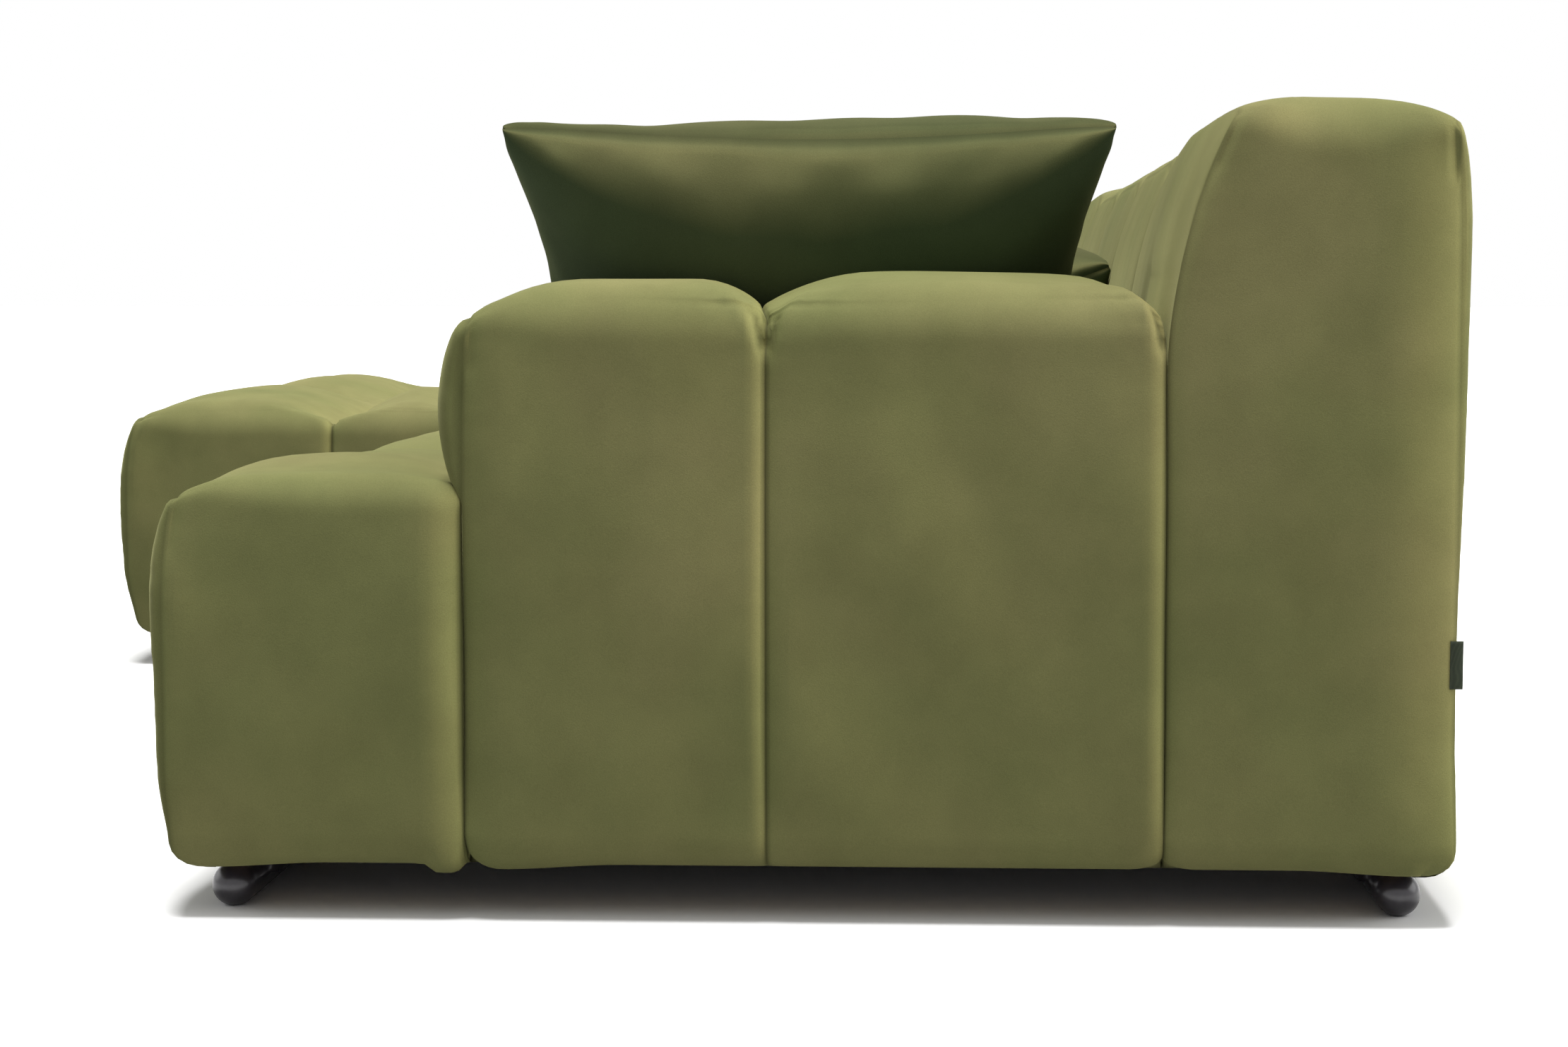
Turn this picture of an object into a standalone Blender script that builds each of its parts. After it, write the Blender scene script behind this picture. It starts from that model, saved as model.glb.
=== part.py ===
"""Corner lounge sofa: a settee with one arm, a chaise beside it and two loose pillows.

Metres, +Z up. The length runs along X, with the arm at +X and the chaise at -X, and the
front faces -Y. The origin is on the floor, at the middle of the whole footprint.
"""
import math
from collections import namedtuple

import bmesh
import bpy
from mathutils import Matrix, Vector
from mathutils.bvhtree import BVHTree

# Clearances
GAP = 0.0003             # between pieces that touch
BOLT_PLAY = 0.0004       # round a shank in its hole
REST_GAP = 0.0006        # under a piece that lies loose on another

# Plan of the tufts: columns along X, rows along Y
COLUMN = 0.536
SETTEE_COLUMNS = 3
CHAISE_COLUMNS = 2
TIP_ROW = 0.296          # first row of the chaise
SECOND_ROW = 0.231       # second row of the chaise
FRONT_ROW = 0.265        # row in front of the arm
MIDDLE_ROW = 0.272       # front tuft of the arm
REAR_ROW = 0.354         # rear tuft of the arm
BACK_DEPTH = 0.257
ARM_WIDTH = 0.300

# Heights above the floor
UNDERSIDE = 0.043
SEAT_TOP = 0.395
ARM_TOP = 0.572
BACK_TOP = 0.735

# Upholstery
PAD = 0.034              # padding outside the frame
BACK_PAD = 0.100         # padding in front of the back foam
FOAM_COVER = 0.050       # padding over a seat, arm or back core
BACK_LEAN = 0.050        # how far the top of the back leans to the rear
LEAN_START = 0.500       # height where the back starts to lean
LEAN_POWER = 1.7         # how late the lean sets in
END_BULGE = 0.006        # swell of the end panels
FRONT_BULGE = 0.024      # swell of the seat fronts and of the arm's front
BACK_BULGE = 0.012       # swell of the front and the rear of the back

# Timber frame
RAIL_THICK = 0.045
RAIL_HEIGHT = 0.120
RAIL_RECESS = 0.006      # underside of the frame above the cover's lower edge
POST_STEP = 0.004        # posts in from the outer face of the rail they stand on
ARM_POST_INSET = 0.045   # arm posts in from the ends of the arm
STRAP_WIDTH = 0.060
STRAP_THICK = 0.002
STRAP_COUNT = 4
DUST_THICK = 0.0015
DUST_LAP = 0.008

# Feet: round bars with domed ends
FOOT_RADIUS = 0.0205
FOOT_LENGTH = 0.240
FOOT_INSET = 0.040       # dome end in from the side of the sofa
FOOT_FLAT = 0.001        # depth of the flat that the bar rests on
FOOT_OUT = 0.016         # bar out from the middle of its rail
SADDLE_LENGTH = 0.100
SADDLE_WIDTH = 0.024
STUD_RADIUS = 0.005
STUD_REACH = 0.050       # length of the stud inside the rail

# Plates that join the chaise to the settee
PLATE_MARGIN = 0.005        # end of a plate short of the dust cover
NOTCH_CLEAR = 0.001         # round a plate where it passes under the covers
PLATE_WIDTH = 0.050
PLATE_THICK = 0.003
PLATE_FRONT_INSET = 0.330   # from the settee's front edge
PLATE_REAR_INSET = 0.180    # from the rear edge
BOLT_RADIUS = 0.004
BOLT_REACH = 0.045
BOLT_HEAD_RADIUS = 0.008
BOLT_HEAD = 0.006

# Loose pillows
PILLOW_WIDTH = 0.612
PILLOW_HEIGHT = 0.430
PILLOW_THICK = 0.200
PILLOW_PULL = 0.100      # how far the middle of a side draws in, as a share of the half side
PILLOW_FULLNESS = 0.40   # lower is fuller towards the edges
ARM_PILLOW_TILT = math.radians(40)
BACK_PILLOW_TILT = math.radians(70)
ARM_PILLOW_FROM_REAR = 0.588
BACK_PILLOW_FROM_SIDE = 1.300

# Sewn tab on the rear seam
TAB_WIDTH = 0.012
TAB_HEIGHT = 0.043
TAB_THICK = 0.0014
TAB_LOW = 0.2145

# Mesh density of the round and soft shapes
ROUND_SIDES = 12
DOME_RINGS = 3
PILLOW_STEPS_WIDE = 14
PILLOW_STEPS_HIGH = 10
SEAM_STEP = 0.25         # first step beside a seam, as a share of the tuft radius
CELL_SHARE = 0.45        # most that the steps beside one seam take of a cell
SMOOTH_ANGLE = math.radians(40)
TOUCH = 0.000001         # points closer than this lie on the same plane
FACING_DOWN = -0.9       # a normal that points lower than this looks down
FEELER_SPACING = 0.005   # between the points that feel the way as a loose piece is set down

Softness = namedtuple(
    "Softness", "top_radius foot_radius corner_radius tuft_radius tuft_depth crown")
SEAT_SOFT = Softness(0.045, 0.026, 0.014, 0.075, 0.030, 0.010)
ARM_SOFT = Softness(0.050, 0.026, 0.014, 0.070, 0.030, 0.010)
BACK_SOFT = Softness(0.045, 0.026, 0.014, 0.080, 0.016, 0.012)

# Lines that follow from the plan
HALF_LENGTH = COLUMN * (SETTEE_COLUMNS + CHAISE_COLUMNS) / 2
DEPTH = TIP_ROW + SECOND_ROW + FRONT_ROW + MIDDLE_ROW + REAR_ROW + BACK_DEPTH
REAR = DEPTH / 2 + (FRONT_BULGE - BACK_BULGE) / 2
BACK_FRONT = REAR - BACK_DEPTH
ROW_TWO = BACK_FRONT - REAR_ROW
ROW_ONE = ROW_TWO - MIDDLE_ROW
SETTEE_FRONT = ROW_ONE - FRONT_ROW
CHAISE_ROW = SETTEE_FRONT - SECOND_ROW
TIP = CHAISE_ROW - TIP_ROW
RIGHT = HALF_LENGTH
LEFT = -HALF_LENGTH
SPLIT = RIGHT - COLUMN * SETTEE_COLUMNS
ARM_INNER = RIGHT - ARM_WIDTH
SETTEE_LINES = [SPLIT + COLUMN * i for i in range(SETTEE_COLUMNS + 1)]
CHAISE_LINES = [LEFT + COLUMN * i for i in range(CHAISE_COLUMNS + 1)]

RAIL_LOW = UNDERSIDE + RAIL_RECESS
RAIL_TOP = RAIL_LOW + RAIL_HEIGHT
STRAP_LOW = RAIL_TOP + GAP
CORE_LOW = STRAP_LOW + STRAP_THICK + GAP
FRONT_RAIL_Y = SETTEE_FRONT + PAD + GAP
CHAISE_RAIL_Y = TIP + PAD + GAP
REAR_RAIL_Y = REAR - PAD - GAP - RAIL_THICK
SEAT_RAIL_Y = BACK_FRONT - RAIL_THICK
RIGHT_RAIL_X = RIGHT - PAD - GAP - RAIL_THICK
LEFT_RAIL_X = LEFT + PAD + GAP
SETTEE_SPLIT_RAIL_X = SPLIT + PAD + GAP
CHAISE_SPLIT_RAIL_X = SPLIT - PAD - GAP - RAIL_THICK
FAR = 10.0               # a cutter's reach past the model


def clear_scene():
    for obj in list(bpy.data.objects):
        bpy.data.objects.remove(obj, do_unlink=True)


def make_material(name, colour, roughness, metallic=0.0):
    material = bpy.data.materials.new(name)
    material.use_nodes = True
    shader = material.node_tree.nodes["Principled BSDF"]
    shader.inputs["Base Color"].default_value = (*colour, 1.0)
    shader.inputs["Roughness"].default_value = roughness
    shader.inputs["Metallic"].default_value = metallic
    return material


def add_object(name, bm, material, smooth=False):
    mesh = bpy.data.meshes.new(name)
    bm.to_mesh(mesh)
    bm.free()
    if smooth:
        mesh.shade_smooth()
        mesh.set_sharp_from_angle(angle=SMOOTH_ANGLE)
    obj = bpy.data.objects.new(name, mesh)
    if material:
        mesh.materials.append(material)
    bpy.context.scene.collection.objects.link(obj)
    return obj


def box_mesh(low, high):
    bm = bmesh.new()
    bmesh.ops.create_cube(bm, size=1.0)
    size = Vector(high) - Vector(low)
    middle = (Vector(high) + Vector(low)) / 2
    bmesh.ops.transform(bm, verts=bm.verts, matrix=Matrix.Translation(middle) @ Matrix.Diagonal((*size, 1)))
    return bm


def add_box(name, low, high, material):
    return add_object(name, box_mesh(low, high), material)


def add_cutter(name, bm):
    cutter = add_object(name, bm, None)
    cutter.hide_render = True
    cutter.display_type = 'WIRE'
    return cutter


def cut(obj, cutter):
    modifier = obj.modifiers.new("cut_" + cutter.name, 'BOOLEAN')
    modifier.operation = 'DIFFERENCE'
    modifier.solver = 'EXACT'
    modifier.object = cutter


def join_solids(obj, extra):
    modifier = obj.modifiers.new("join_" + extra.name, 'BOOLEAN')
    modifier.operation = 'UNION'
    modifier.solver = 'EXACT'
    modifier.object = extra


def rod_mesh(x, y, z_low, z_high, radius):
    bm = bmesh.new()
    bmesh.ops.create_cone(bm, cap_ends=True, segments=ROUND_SIDES, radius1=radius, radius2=radius,
                          depth=z_high - z_low)
    bmesh.ops.translate(bm, verts=bm.verts, vec=(x, y, (z_low + z_high) / 2))
    return bm


# Soft blocks

def cut_positions(lines, reach):
    """Loop cuts along one axis: beside each seam, at the tuft radius and in each middle."""
    cuts = []
    for start, end in zip(lines, lines[1:]):
        step = min(reach, (end - start) * CELL_SHARE)
        cuts += [start, start + step * SEAM_STEP, start + step, (start + end) / 2,
                 end - step, end - step * SEAM_STEP]
    return cuts[1:]


def seam_rise(value, seams, radius):
    """0 on a seam, 1 from one tuft radius away, on a quarter circle."""
    nearest = min((abs(value - seam) for seam in seams), default=radius)
    away = min(nearest / radius, 1.0)
    return math.sqrt(1 - (1 - away) ** 2)


def cell_dome(value, lines):
    """Parabola over the cell that holds the value: 0 at its lines, 1 at its middle."""
    for start, end in zip(lines, lines[1:]):
        if value <= end:
            share = min(max((value - start) / (end - start), 0.0), 1.0)
            return 4 * share * (1 - share)
    return 0.0


def round_corner(x, y, half_x, half_y, radius):
    """Move a point on a rectangle's outline onto the outline with round corners."""
    radius = min(radius, half_x, half_y)
    over_x = max(abs(x) - (half_x - radius), 0.0)
    over_y = max(abs(y) - (half_y - radius), 0.0)
    length = math.hypot(over_x, over_y)
    if radius <= 0 or over_x == 0 or over_y == 0 or length == 0:
        return x, y
    x = math.copysign(half_x - radius + over_x * radius / length, x)
    y = math.copysign(half_y - radius + over_y * radius / length, y)
    return x, y


def soft_point(point, x_lines, y_lines, z_low, z_high, soft, free):
    """Where a point of the plain box lies on the upholstered block."""
    x_mid, y_mid = (x_lines[0] + x_lines[-1]) / 2, (y_lines[0] + y_lines[-1]) / 2
    half_x, half_y = (x_lines[-1] - x_lines[0]) / 2, (y_lines[-1] - y_lines[0]) / 2
    x, y, z = point.x - x_mid, point.y - y_mid, point.z
    away = max(min(half_x - abs(x), half_y - abs(y)), 0.0)
    inset, top_share = away, 0.0
    if z > z_high - soft.top_radius and away < soft.top_radius:
        across, up = soft.top_radius - away, z - (z_high - soft.top_radius)
        length = math.hypot(across, up)
        inset = soft.top_radius - across * soft.top_radius / length
        z = z_high - soft.top_radius + up * soft.top_radius / length
        top_share = up / length
    elif z >= z_high - TOUCH:
        top_share = 1.0
    elif z < z_low + soft.foot_radius:
        angle = (z_low + soft.foot_radius - z) / soft.foot_radius * math.pi / 2
        inset = away + soft.foot_radius * (1 - math.cos(angle))
        z = z_low + soft.foot_radius * (1 - math.sin(angle))
    level_x, level_y = half_x - inset, half_y - inset
    if half_x > away:
        x *= level_x / (half_x - away)
    if half_y > away:
        y *= level_y / (half_y - away)
    fade = max(1 - away / soft.top_radius, 0.0)
    x, y = round_corner(x, y, level_x, level_y, soft.corner_radius * fade)

    dip = 1 - seam_rise(point.x, x_lines[1:-1], soft.tuft_radius) * seam_rise(
        point.y, y_lines[1:-1], soft.tuft_radius)
    dome = cell_dome(point.x, x_lines) * cell_dome(point.y, y_lines)
    z += top_share * (soft.crown * dome - soft.tuft_depth * dip)
    for face, (foot, bulge) in free.items():
        axis, sign = "xy".index(face[1]), 1 if face[0] == "+" else -1
        value = (point.x - x_mid, point.y - y_mid)[axis] * sign
        if value < (half_x, half_y)[axis] - TOUCH:
            continue
        lines, along = ((y_lines, point.y), (x_lines, point.x))[axis]
        height = math.sqrt(cell_dome(max(point.z, foot), [foot, z_high]))
        push = sign * bulge * seam_rise(along, lines, soft.tuft_radius) * height * (1 - top_share)
        x, y = (x + push, y) if axis == 0 else (x, y + push)
    return Vector((x + x_mid, y + y_mid, z))


def soft_block(name, x_lines, y_lines, z_high, soft, free, material):
    """Upholstered block over a plan's cells. free maps each exposed side to its bulge's foot and size."""
    z_low = UNDERSIDE
    bm = box_mesh((x_lines[0], y_lines[0], z_low), (x_lines[-1], y_lines[-1], z_high))
    body_low, body_high = z_low + soft.foot_radius, z_high - soft.top_radius
    z_cuts = [z_low + soft.foot_radius / 2, body_low, (body_low * 2 + body_high) / 3,
              (body_low + body_high * 2) / 3, body_high, z_high - soft.top_radius / 2]
    planes = [((1, 0, 0), value) for value in cut_positions(x_lines, soft.tuft_radius)]
    planes += [((0, 1, 0), value) for value in cut_positions(y_lines, soft.tuft_radius)]
    planes += [((0, 0, 1), value) for value in z_cuts]
    for normal, value in planes:
        geometry = bm.verts[:] + bm.edges[:] + bm.faces[:]
        bmesh.ops.bisect_plane(bm, geom=geometry, plane_co=Vector(normal) * value, plane_no=normal, dist=TOUCH)
    bmesh.ops.recalc_face_normals(bm, faces=bm.faces[:])
    below = [face for face in bm.faces if face.normal.z < FACING_DOWN]
    bmesh.ops.dissolve_faces(bm, faces=below, use_verts=False)
    bmesh.ops.triangulate(bm, faces=[face for face in bm.faces if len(face.verts) == 4])
    moved = [soft_point(vert.co, x_lines, y_lines, z_low, z_high, soft, free) for vert in bm.verts]
    for vert, place in zip(bm.verts, moved):
        vert.co = place
    return add_object(name, bm, material, smooth=True)


def lean_back(obj):
    """Lean the front of a back block to the rear above the seat."""
    rise = BACK_TOP - LEAN_START
    for vert in obj.data.vertices:
        share = max((vert.co.z - LEAN_START) / rise, 0.0)
        front = min(max((REAR - vert.co.y) / BACK_DEPTH, 0.0), 1.0)
        vert.co.y += BACK_LEAN * share ** LEAN_POWER * front


def make_covers(velvet):
    """The upholstered blocks, plain below, before the frame's room is cut out of them."""
    edge = GAP / 2
    arm_front_low = SEAT_TOP + SEAT_SOFT.crown * 2
    back_front_low = ARM_TOP + ARM_SOFT.crown
    settee = [SETTEE_LINES[0] + edge] + SETTEE_LINES[1:]
    seat_lines = [line for line in settee if line < ARM_INNER - SEAT_SOFT.tuft_radius] + [ARM_INNER - edge]
    chaise = CHAISE_LINES[:-1] + [CHAISE_LINES[-1] - edge]
    rows = [TIP, CHAISE_ROW, SETTEE_FRONT, ROW_ONE, ROW_TWO, BACK_FRONT - edge]
    back_rows = [BACK_FRONT + edge, REAR]
    end, front = (UNDERSIDE, END_BULGE), (UNDERSIDE, FRONT_BULGE)
    arm_front, back_front = (arm_front_low, FRONT_BULGE), (back_front_low, BACK_BULGE)
    rear = (UNDERSIDE, BACK_BULGE)
    covers = {
        "settee_front_cover": soft_block(
            "settee_front_cover", settee, [SETTEE_FRONT, ROW_ONE - edge], SEAT_TOP, SEAT_SOFT,
            {"-y": front, "+x": end}, velvet),
        "settee_seat_cover": soft_block(
            "settee_seat_cover", seat_lines, [ROW_ONE + edge, ROW_TWO, BACK_FRONT - edge], SEAT_TOP, SEAT_SOFT,
            {}, velvet),
        "arm_cover": soft_block(
            "arm_cover", [ARM_INNER + edge, RIGHT], [ROW_ONE + edge, ROW_TWO, BACK_FRONT - edge], ARM_TOP,
            ARM_SOFT, {"+x": end, "-y": arm_front}, velvet),
        "settee_back_cover": soft_block(
            "settee_back_cover", settee, back_rows, BACK_TOP, BACK_SOFT,
            {"+x": end, "+y": rear, "-y": back_front}, velvet),
        "chaise_seat_cover": soft_block(
            "chaise_seat_cover", chaise, rows, SEAT_TOP, SEAT_SOFT, {"-x": end, "-y": front}, velvet),
        "chaise_back_cover": soft_block(
            "chaise_back_cover", chaise, back_rows, BACK_TOP, BACK_SOFT,
            {"-x": end, "+y": rear, "-y": back_front}, velvet),
    }
    lean_back(covers["settee_back_cover"])
    lean_back(covers["chaise_back_cover"])
    return covers


# Rooms inside the covers

def make_base_rooms(covers):
    """The low room of each half, which holds the rails, the webbing and the dust cover."""
    settee = add_cutter("settee_base_room", box_mesh(
        (SPLIT + PAD, SETTEE_FRONT + PAD, -FAR), (RIGHT - PAD, REAR - PAD, CORE_LOW)))
    chaise = add_cutter("chaise_base_room", box_mesh(
        (LEFT + PAD, TIP + PAD, -FAR), (SPLIT - PAD, REAR - PAD, CORE_LOW)))
    for name in ("settee_front_cover", "settee_seat_cover", "arm_cover", "settee_back_cover"):
        cut(covers[name], settee)
    for name in ("chaise_seat_cover", "chaise_back_cover"):
        cut(covers[name], chaise)


def make_core(name, cover, low, high, foam):
    """A foam core in a room that opens downwards, GAP clear of its cover all round."""
    room_low = (low[0] - GAP, low[1] - GAP, low[2] - RAIL_HEIGHT)
    room_high = (high[0] + GAP, high[1] + GAP, high[2] + GAP)
    cut(cover, add_cutter(name + "_room", box_mesh(room_low, room_high)))
    return add_box(name, low, high, foam)


def make_seat_cores(covers, foam):
    seat_high = SEAT_TOP - FOAM_COVER
    make_core("settee_seat_foam", covers["settee_seat_cover"],
              (SPLIT + FOAM_COVER, ROW_ONE + PAD, CORE_LOW), (ARM_INNER - PAD, BACK_FRONT - PAD, seat_high), foam)
    make_core("chaise_seat_foam", covers["chaise_seat_cover"],
              (LEFT + FOAM_COVER, TIP + FOAM_COVER, CORE_LOW),
              (SPLIT - FOAM_COVER, BACK_FRONT - PAD, seat_high), foam)


def make_back_core(prefix, cover, x_low, x_high, posts, timber, foam):
    """Posts on the rear rail, a rail across their tops and a foam slab in front of them."""
    rail_high = BACK_TOP - FOAM_COVER
    post_low, post_high = RAIL_TOP + GAP, rail_high - RAIL_THICK - GAP
    post_rear = REAR_RAIL_Y + RAIL_THICK - POST_STEP
    cut(cover, add_cutter(prefix + "_back_room", box_mesh(
        (x_low - GAP, BACK_FRONT + BACK_PAD - GAP, CORE_LOW - RAIL_HEIGHT),
        (x_high + GAP, post_rear + GAP, rail_high + GAP))))
    add_box(prefix + "_back_foam", (x_low, BACK_FRONT + BACK_PAD, CORE_LOW),
            (x_high, REAR_RAIL_Y - GAP, rail_high), foam)
    pitch = (x_high - x_low - RAIL_THICK) / (len(posts) - 1)
    for index, name in enumerate(posts):
        start = x_low + pitch * index
        add_box(f"{prefix}_back_post_{name}", (start, REAR_RAIL_Y, post_low),
                (start + RAIL_THICK, post_rear, post_high), timber)
    add_box(prefix + "_back_top_rail", (x_low, REAR_RAIL_Y, rail_high - RAIL_THICK),
            (x_high, post_rear, rail_high), timber)


def make_arm_core(cover, timber, foam):
    """Two posts on the right rail, a rail across their tops and a foam core beside them."""
    y_low, y_high = ROW_ONE + ARM_POST_INSET, BACK_FRONT - ARM_POST_INSET
    rail_high = ARM_TOP - FOAM_COVER
    post_low, post_high = RAIL_TOP + GAP, rail_high - RAIL_THICK - GAP
    x_low, x_high = RIGHT_RAIL_X, RIGHT_RAIL_X + RAIL_THICK - POST_STEP
    core_x = ARM_INNER + FOAM_COVER
    cut(cover, add_cutter("arm_room", box_mesh(
        (core_x - GAP, y_low - GAP, CORE_LOW - RAIL_HEIGHT), (x_high + GAP, y_high + GAP, rail_high + GAP))))
    add_box("arm_foam", (core_x, y_low, CORE_LOW), (x_low - GAP, y_high, rail_high), foam)
    for name, start in (("front", y_low), ("rear", y_high - RAIL_THICK)):
        add_box(f"arm_{name}_post", (x_low, start, post_low), (x_high, start + RAIL_THICK, post_high), timber)
    add_box("arm_top_rail", (x_low, y_low, rail_high - RAIL_THICK), (x_high, y_high, rail_high), timber)


# Base frames

def make_base(prefix, x_low, x_high, front_y, timber):
    """Front and rear rails along X, with two side rails and a seat rail between them."""
    rear_y = REAR_RAIL_Y
    inner_low, inner_high = front_y + RAIL_THICK + GAP, rear_y - GAP
    spans = {
        "front_rail": ((x_low, front_y), (x_high, front_y + RAIL_THICK)),
        "rear_rail": ((x_low, rear_y), (x_high, rear_y + RAIL_THICK)),
        "left_rail": ((x_low, inner_low), (x_low + RAIL_THICK, inner_high)),
        "right_rail": ((x_high - RAIL_THICK, inner_low), (x_high, inner_high)),
        "seat_rail": ((x_low + RAIL_THICK + GAP, SEAT_RAIL_Y),
                      (x_high - RAIL_THICK - GAP, SEAT_RAIL_Y + RAIL_THICK)),
    }
    return {name: add_box(f"{prefix}_{name}", (*low, RAIL_LOW), (*high, RAIL_TOP), timber)
            for name, (low, high) in spans.items()}


def make_settee_straps(webbing):
    """Straps from the front rail to the seat rail, spread evenly over the seat's width."""
    start = SETTEE_SPLIT_RAIL_X + RAIL_THICK
    pitch = (ARM_INNER - start) / STRAP_COUNT
    for index in range(STRAP_COUNT):
        middle = start + pitch * (index + 0.5)
        add_box(f"settee_webbing_{index + 1}", (middle - STRAP_WIDTH / 2, FRONT_RAIL_Y + GAP, STRAP_LOW),
                (middle + STRAP_WIDTH / 2, SEAT_RAIL_Y + RAIL_THICK, STRAP_LOW + STRAP_THICK), webbing)


def make_chaise_straps(webbing):
    """Straps across the chaise, from one side rail to the other."""
    start = CHAISE_RAIL_Y + RAIL_THICK
    pitch = (SEAT_RAIL_Y - start) / STRAP_COUNT
    for index in range(STRAP_COUNT):
        middle = start + pitch * (index + 0.5)
        add_box(f"chaise_webbing_{index + 1}", (LEFT_RAIL_X + GAP, middle - STRAP_WIDTH / 2, STRAP_LOW),
                (CHAISE_SPLIT_RAIL_X + RAIL_THICK, middle + STRAP_WIDTH / 2, STRAP_LOW + STRAP_THICK), webbing)


def make_dust_cover(prefix, x_low, x_high, front_y, cloth):
    high = RAIL_LOW - GAP
    inset = RAIL_THICK - DUST_LAP
    add_box(prefix + "_dust_cover", (x_low + inset, front_y + inset, high - DUST_THICK),
            (x_high - inset, REAR_RAIL_Y + DUST_LAP, high), cloth)


# Feet

def bar_mesh(x_low, x_high, y, z):
    """Round bar along X with a dome at each end."""
    bm = bmesh.new()
    bmesh.ops.create_uvsphere(bm, u_segments=ROUND_SIDES, v_segments=DOME_RINGS * 2, radius=FOOT_RADIUS)
    bmesh.ops.rotate(bm, verts=bm.verts, cent=(0, 0, 0), matrix=Matrix.Rotation(math.pi / 2, 3, 'Y'))
    middle_ring = [edge for edge in bm.edges if all(abs(vert.co.x) < TOUCH for vert in edge.verts)]
    bmesh.ops.split_edges(bm, edges=middle_ring)
    reach = (x_high - x_low) / 2 - FOOT_RADIUS
    for face in bm.faces:
        side = math.copysign(1, face.calc_center_median().x)
        for vert in face.verts:
            vert.tag = side > 0
    for vert in bm.verts:
        vert.co.x += reach if vert.tag else -reach
    rims = [edge for edge in bm.edges if edge.is_boundary]
    bmesh.ops.bridge_loops(bm, edges=rims)
    bmesh.ops.recalc_face_normals(bm, faces=bm.faces[:])
    bmesh.ops.translate(bm, verts=bm.verts, vec=((x_low + x_high) / 2, y, z))
    return bm


def make_foot(name, rail, x_low, rail_y, bar_y, material):
    """A bar with a saddle that reaches under its rail, and a stud up into the rail."""
    x_high = x_low + FOOT_LENGTH
    x_mid, z_mid = (x_low + x_high) / 2, FOOT_RADIUS - FOOT_FLAT
    saddle_top = RAIL_LOW - GAP
    stud_top = RAIL_LOW + STUD_REACH
    foot = add_object(name, bar_mesh(x_low, x_high, bar_y, z_mid), material, smooth=True)
    join_solids(foot, add_cutter(name + "_saddle", box_mesh(
        (x_mid - SADDLE_LENGTH / 2, rail_y - SADDLE_WIDTH / 2, z_mid),
        (x_mid + SADDLE_LENGTH / 2, rail_y + SADDLE_WIDTH / 2, saddle_top))))
    join_solids(foot, add_cutter(name + "_stud", rod_mesh(
        x_mid, rail_y, saddle_top - FOOT_RADIUS / 2, stud_top, STUD_RADIUS)))
    cut(foot, add_cutter(name + "_floor", box_mesh((-FAR, -FAR, -FAR), (FAR, FAR, 0))))
    cut(rail, add_cutter(name + "_hole", rod_mesh(
        x_mid, rail_y, RAIL_LOW - STUD_REACH, stud_top + BOLT_PLAY, STUD_RADIUS + BOLT_PLAY)))


def make_feet(prefix, base, x_low, x_high, front_y, material):
    """One foot under each end of the front and rear rails."""
    for row, y, out in (("front", front_y, -FOOT_OUT), ("rear", REAR_RAIL_Y, FOOT_OUT)):
        rail = base[row + "_rail"]
        rail_y = y + RAIL_THICK / 2
        for side, start in (("left", x_low), ("right", x_high - FOOT_LENGTH)):
            make_foot(f"{prefix}_foot_{row}_{side}", rail, start, rail_y, rail_y + out, material)


# Joining plates

def make_joining_plates(covers, settee_rail, chaise_rail, steel):
    """Flat plates bolted up into the rails on both sides of the split, through notches in the covers."""
    plate_high = RAIL_LOW - GAP
    plate_low = plate_high - PLATE_THICK
    plate_half = PAD + GAP + RAIL_THICK - DUST_LAP - PLATE_MARGIN
    head_high = plate_low - GAP
    for name, y in (("front", SETTEE_FRONT + PLATE_FRONT_INSET), ("rear", REAR - PLATE_REAR_INSET)):
        plate = add_box(f"joining_plate_{name}", (SPLIT - plate_half, y - PLATE_WIDTH / 2, plate_low),
                        (SPLIT + plate_half, y + PLATE_WIDTH / 2, plate_high), steel)
        notch_half = PLATE_WIDTH / 2 + NOTCH_CLEAR
        notch = add_cutter(plate.name + "_notch", box_mesh(
            (SPLIT - plate_half, y - notch_half, -FAR), (SPLIT + plate_half, y + notch_half, RAIL_LOW + NOTCH_CLEAR)))
        for cover in covers.values():
            cut(cover, notch)
        for side, rail, sign in (("settee", settee_rail, 1), ("chaise", chaise_rail, -1)):
            x = SPLIT + sign * (PAD + GAP + RAIL_THICK / 2)
            bolt = add_object(f"joining_bolt_{name}_{side}", rod_mesh(
                x, y, head_high - BOLT_HEAD, head_high, BOLT_HEAD_RADIUS), steel, smooth=True)
            top = RAIL_LOW + BOLT_REACH
            join_solids(bolt, add_cutter(bolt.name + "_shank", rod_mesh(
                x, y, head_high - BOLT_HEAD / 2, top, BOLT_RADIUS)))
            hole = add_cutter(bolt.name + "_hole", rod_mesh(
                x, y, plate_low - BOLT_REACH, top + BOLT_PLAY, BOLT_RADIUS + BOLT_PLAY))
            cut(plate, hole)
            cut(rail, hole)


# Pillows

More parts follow.
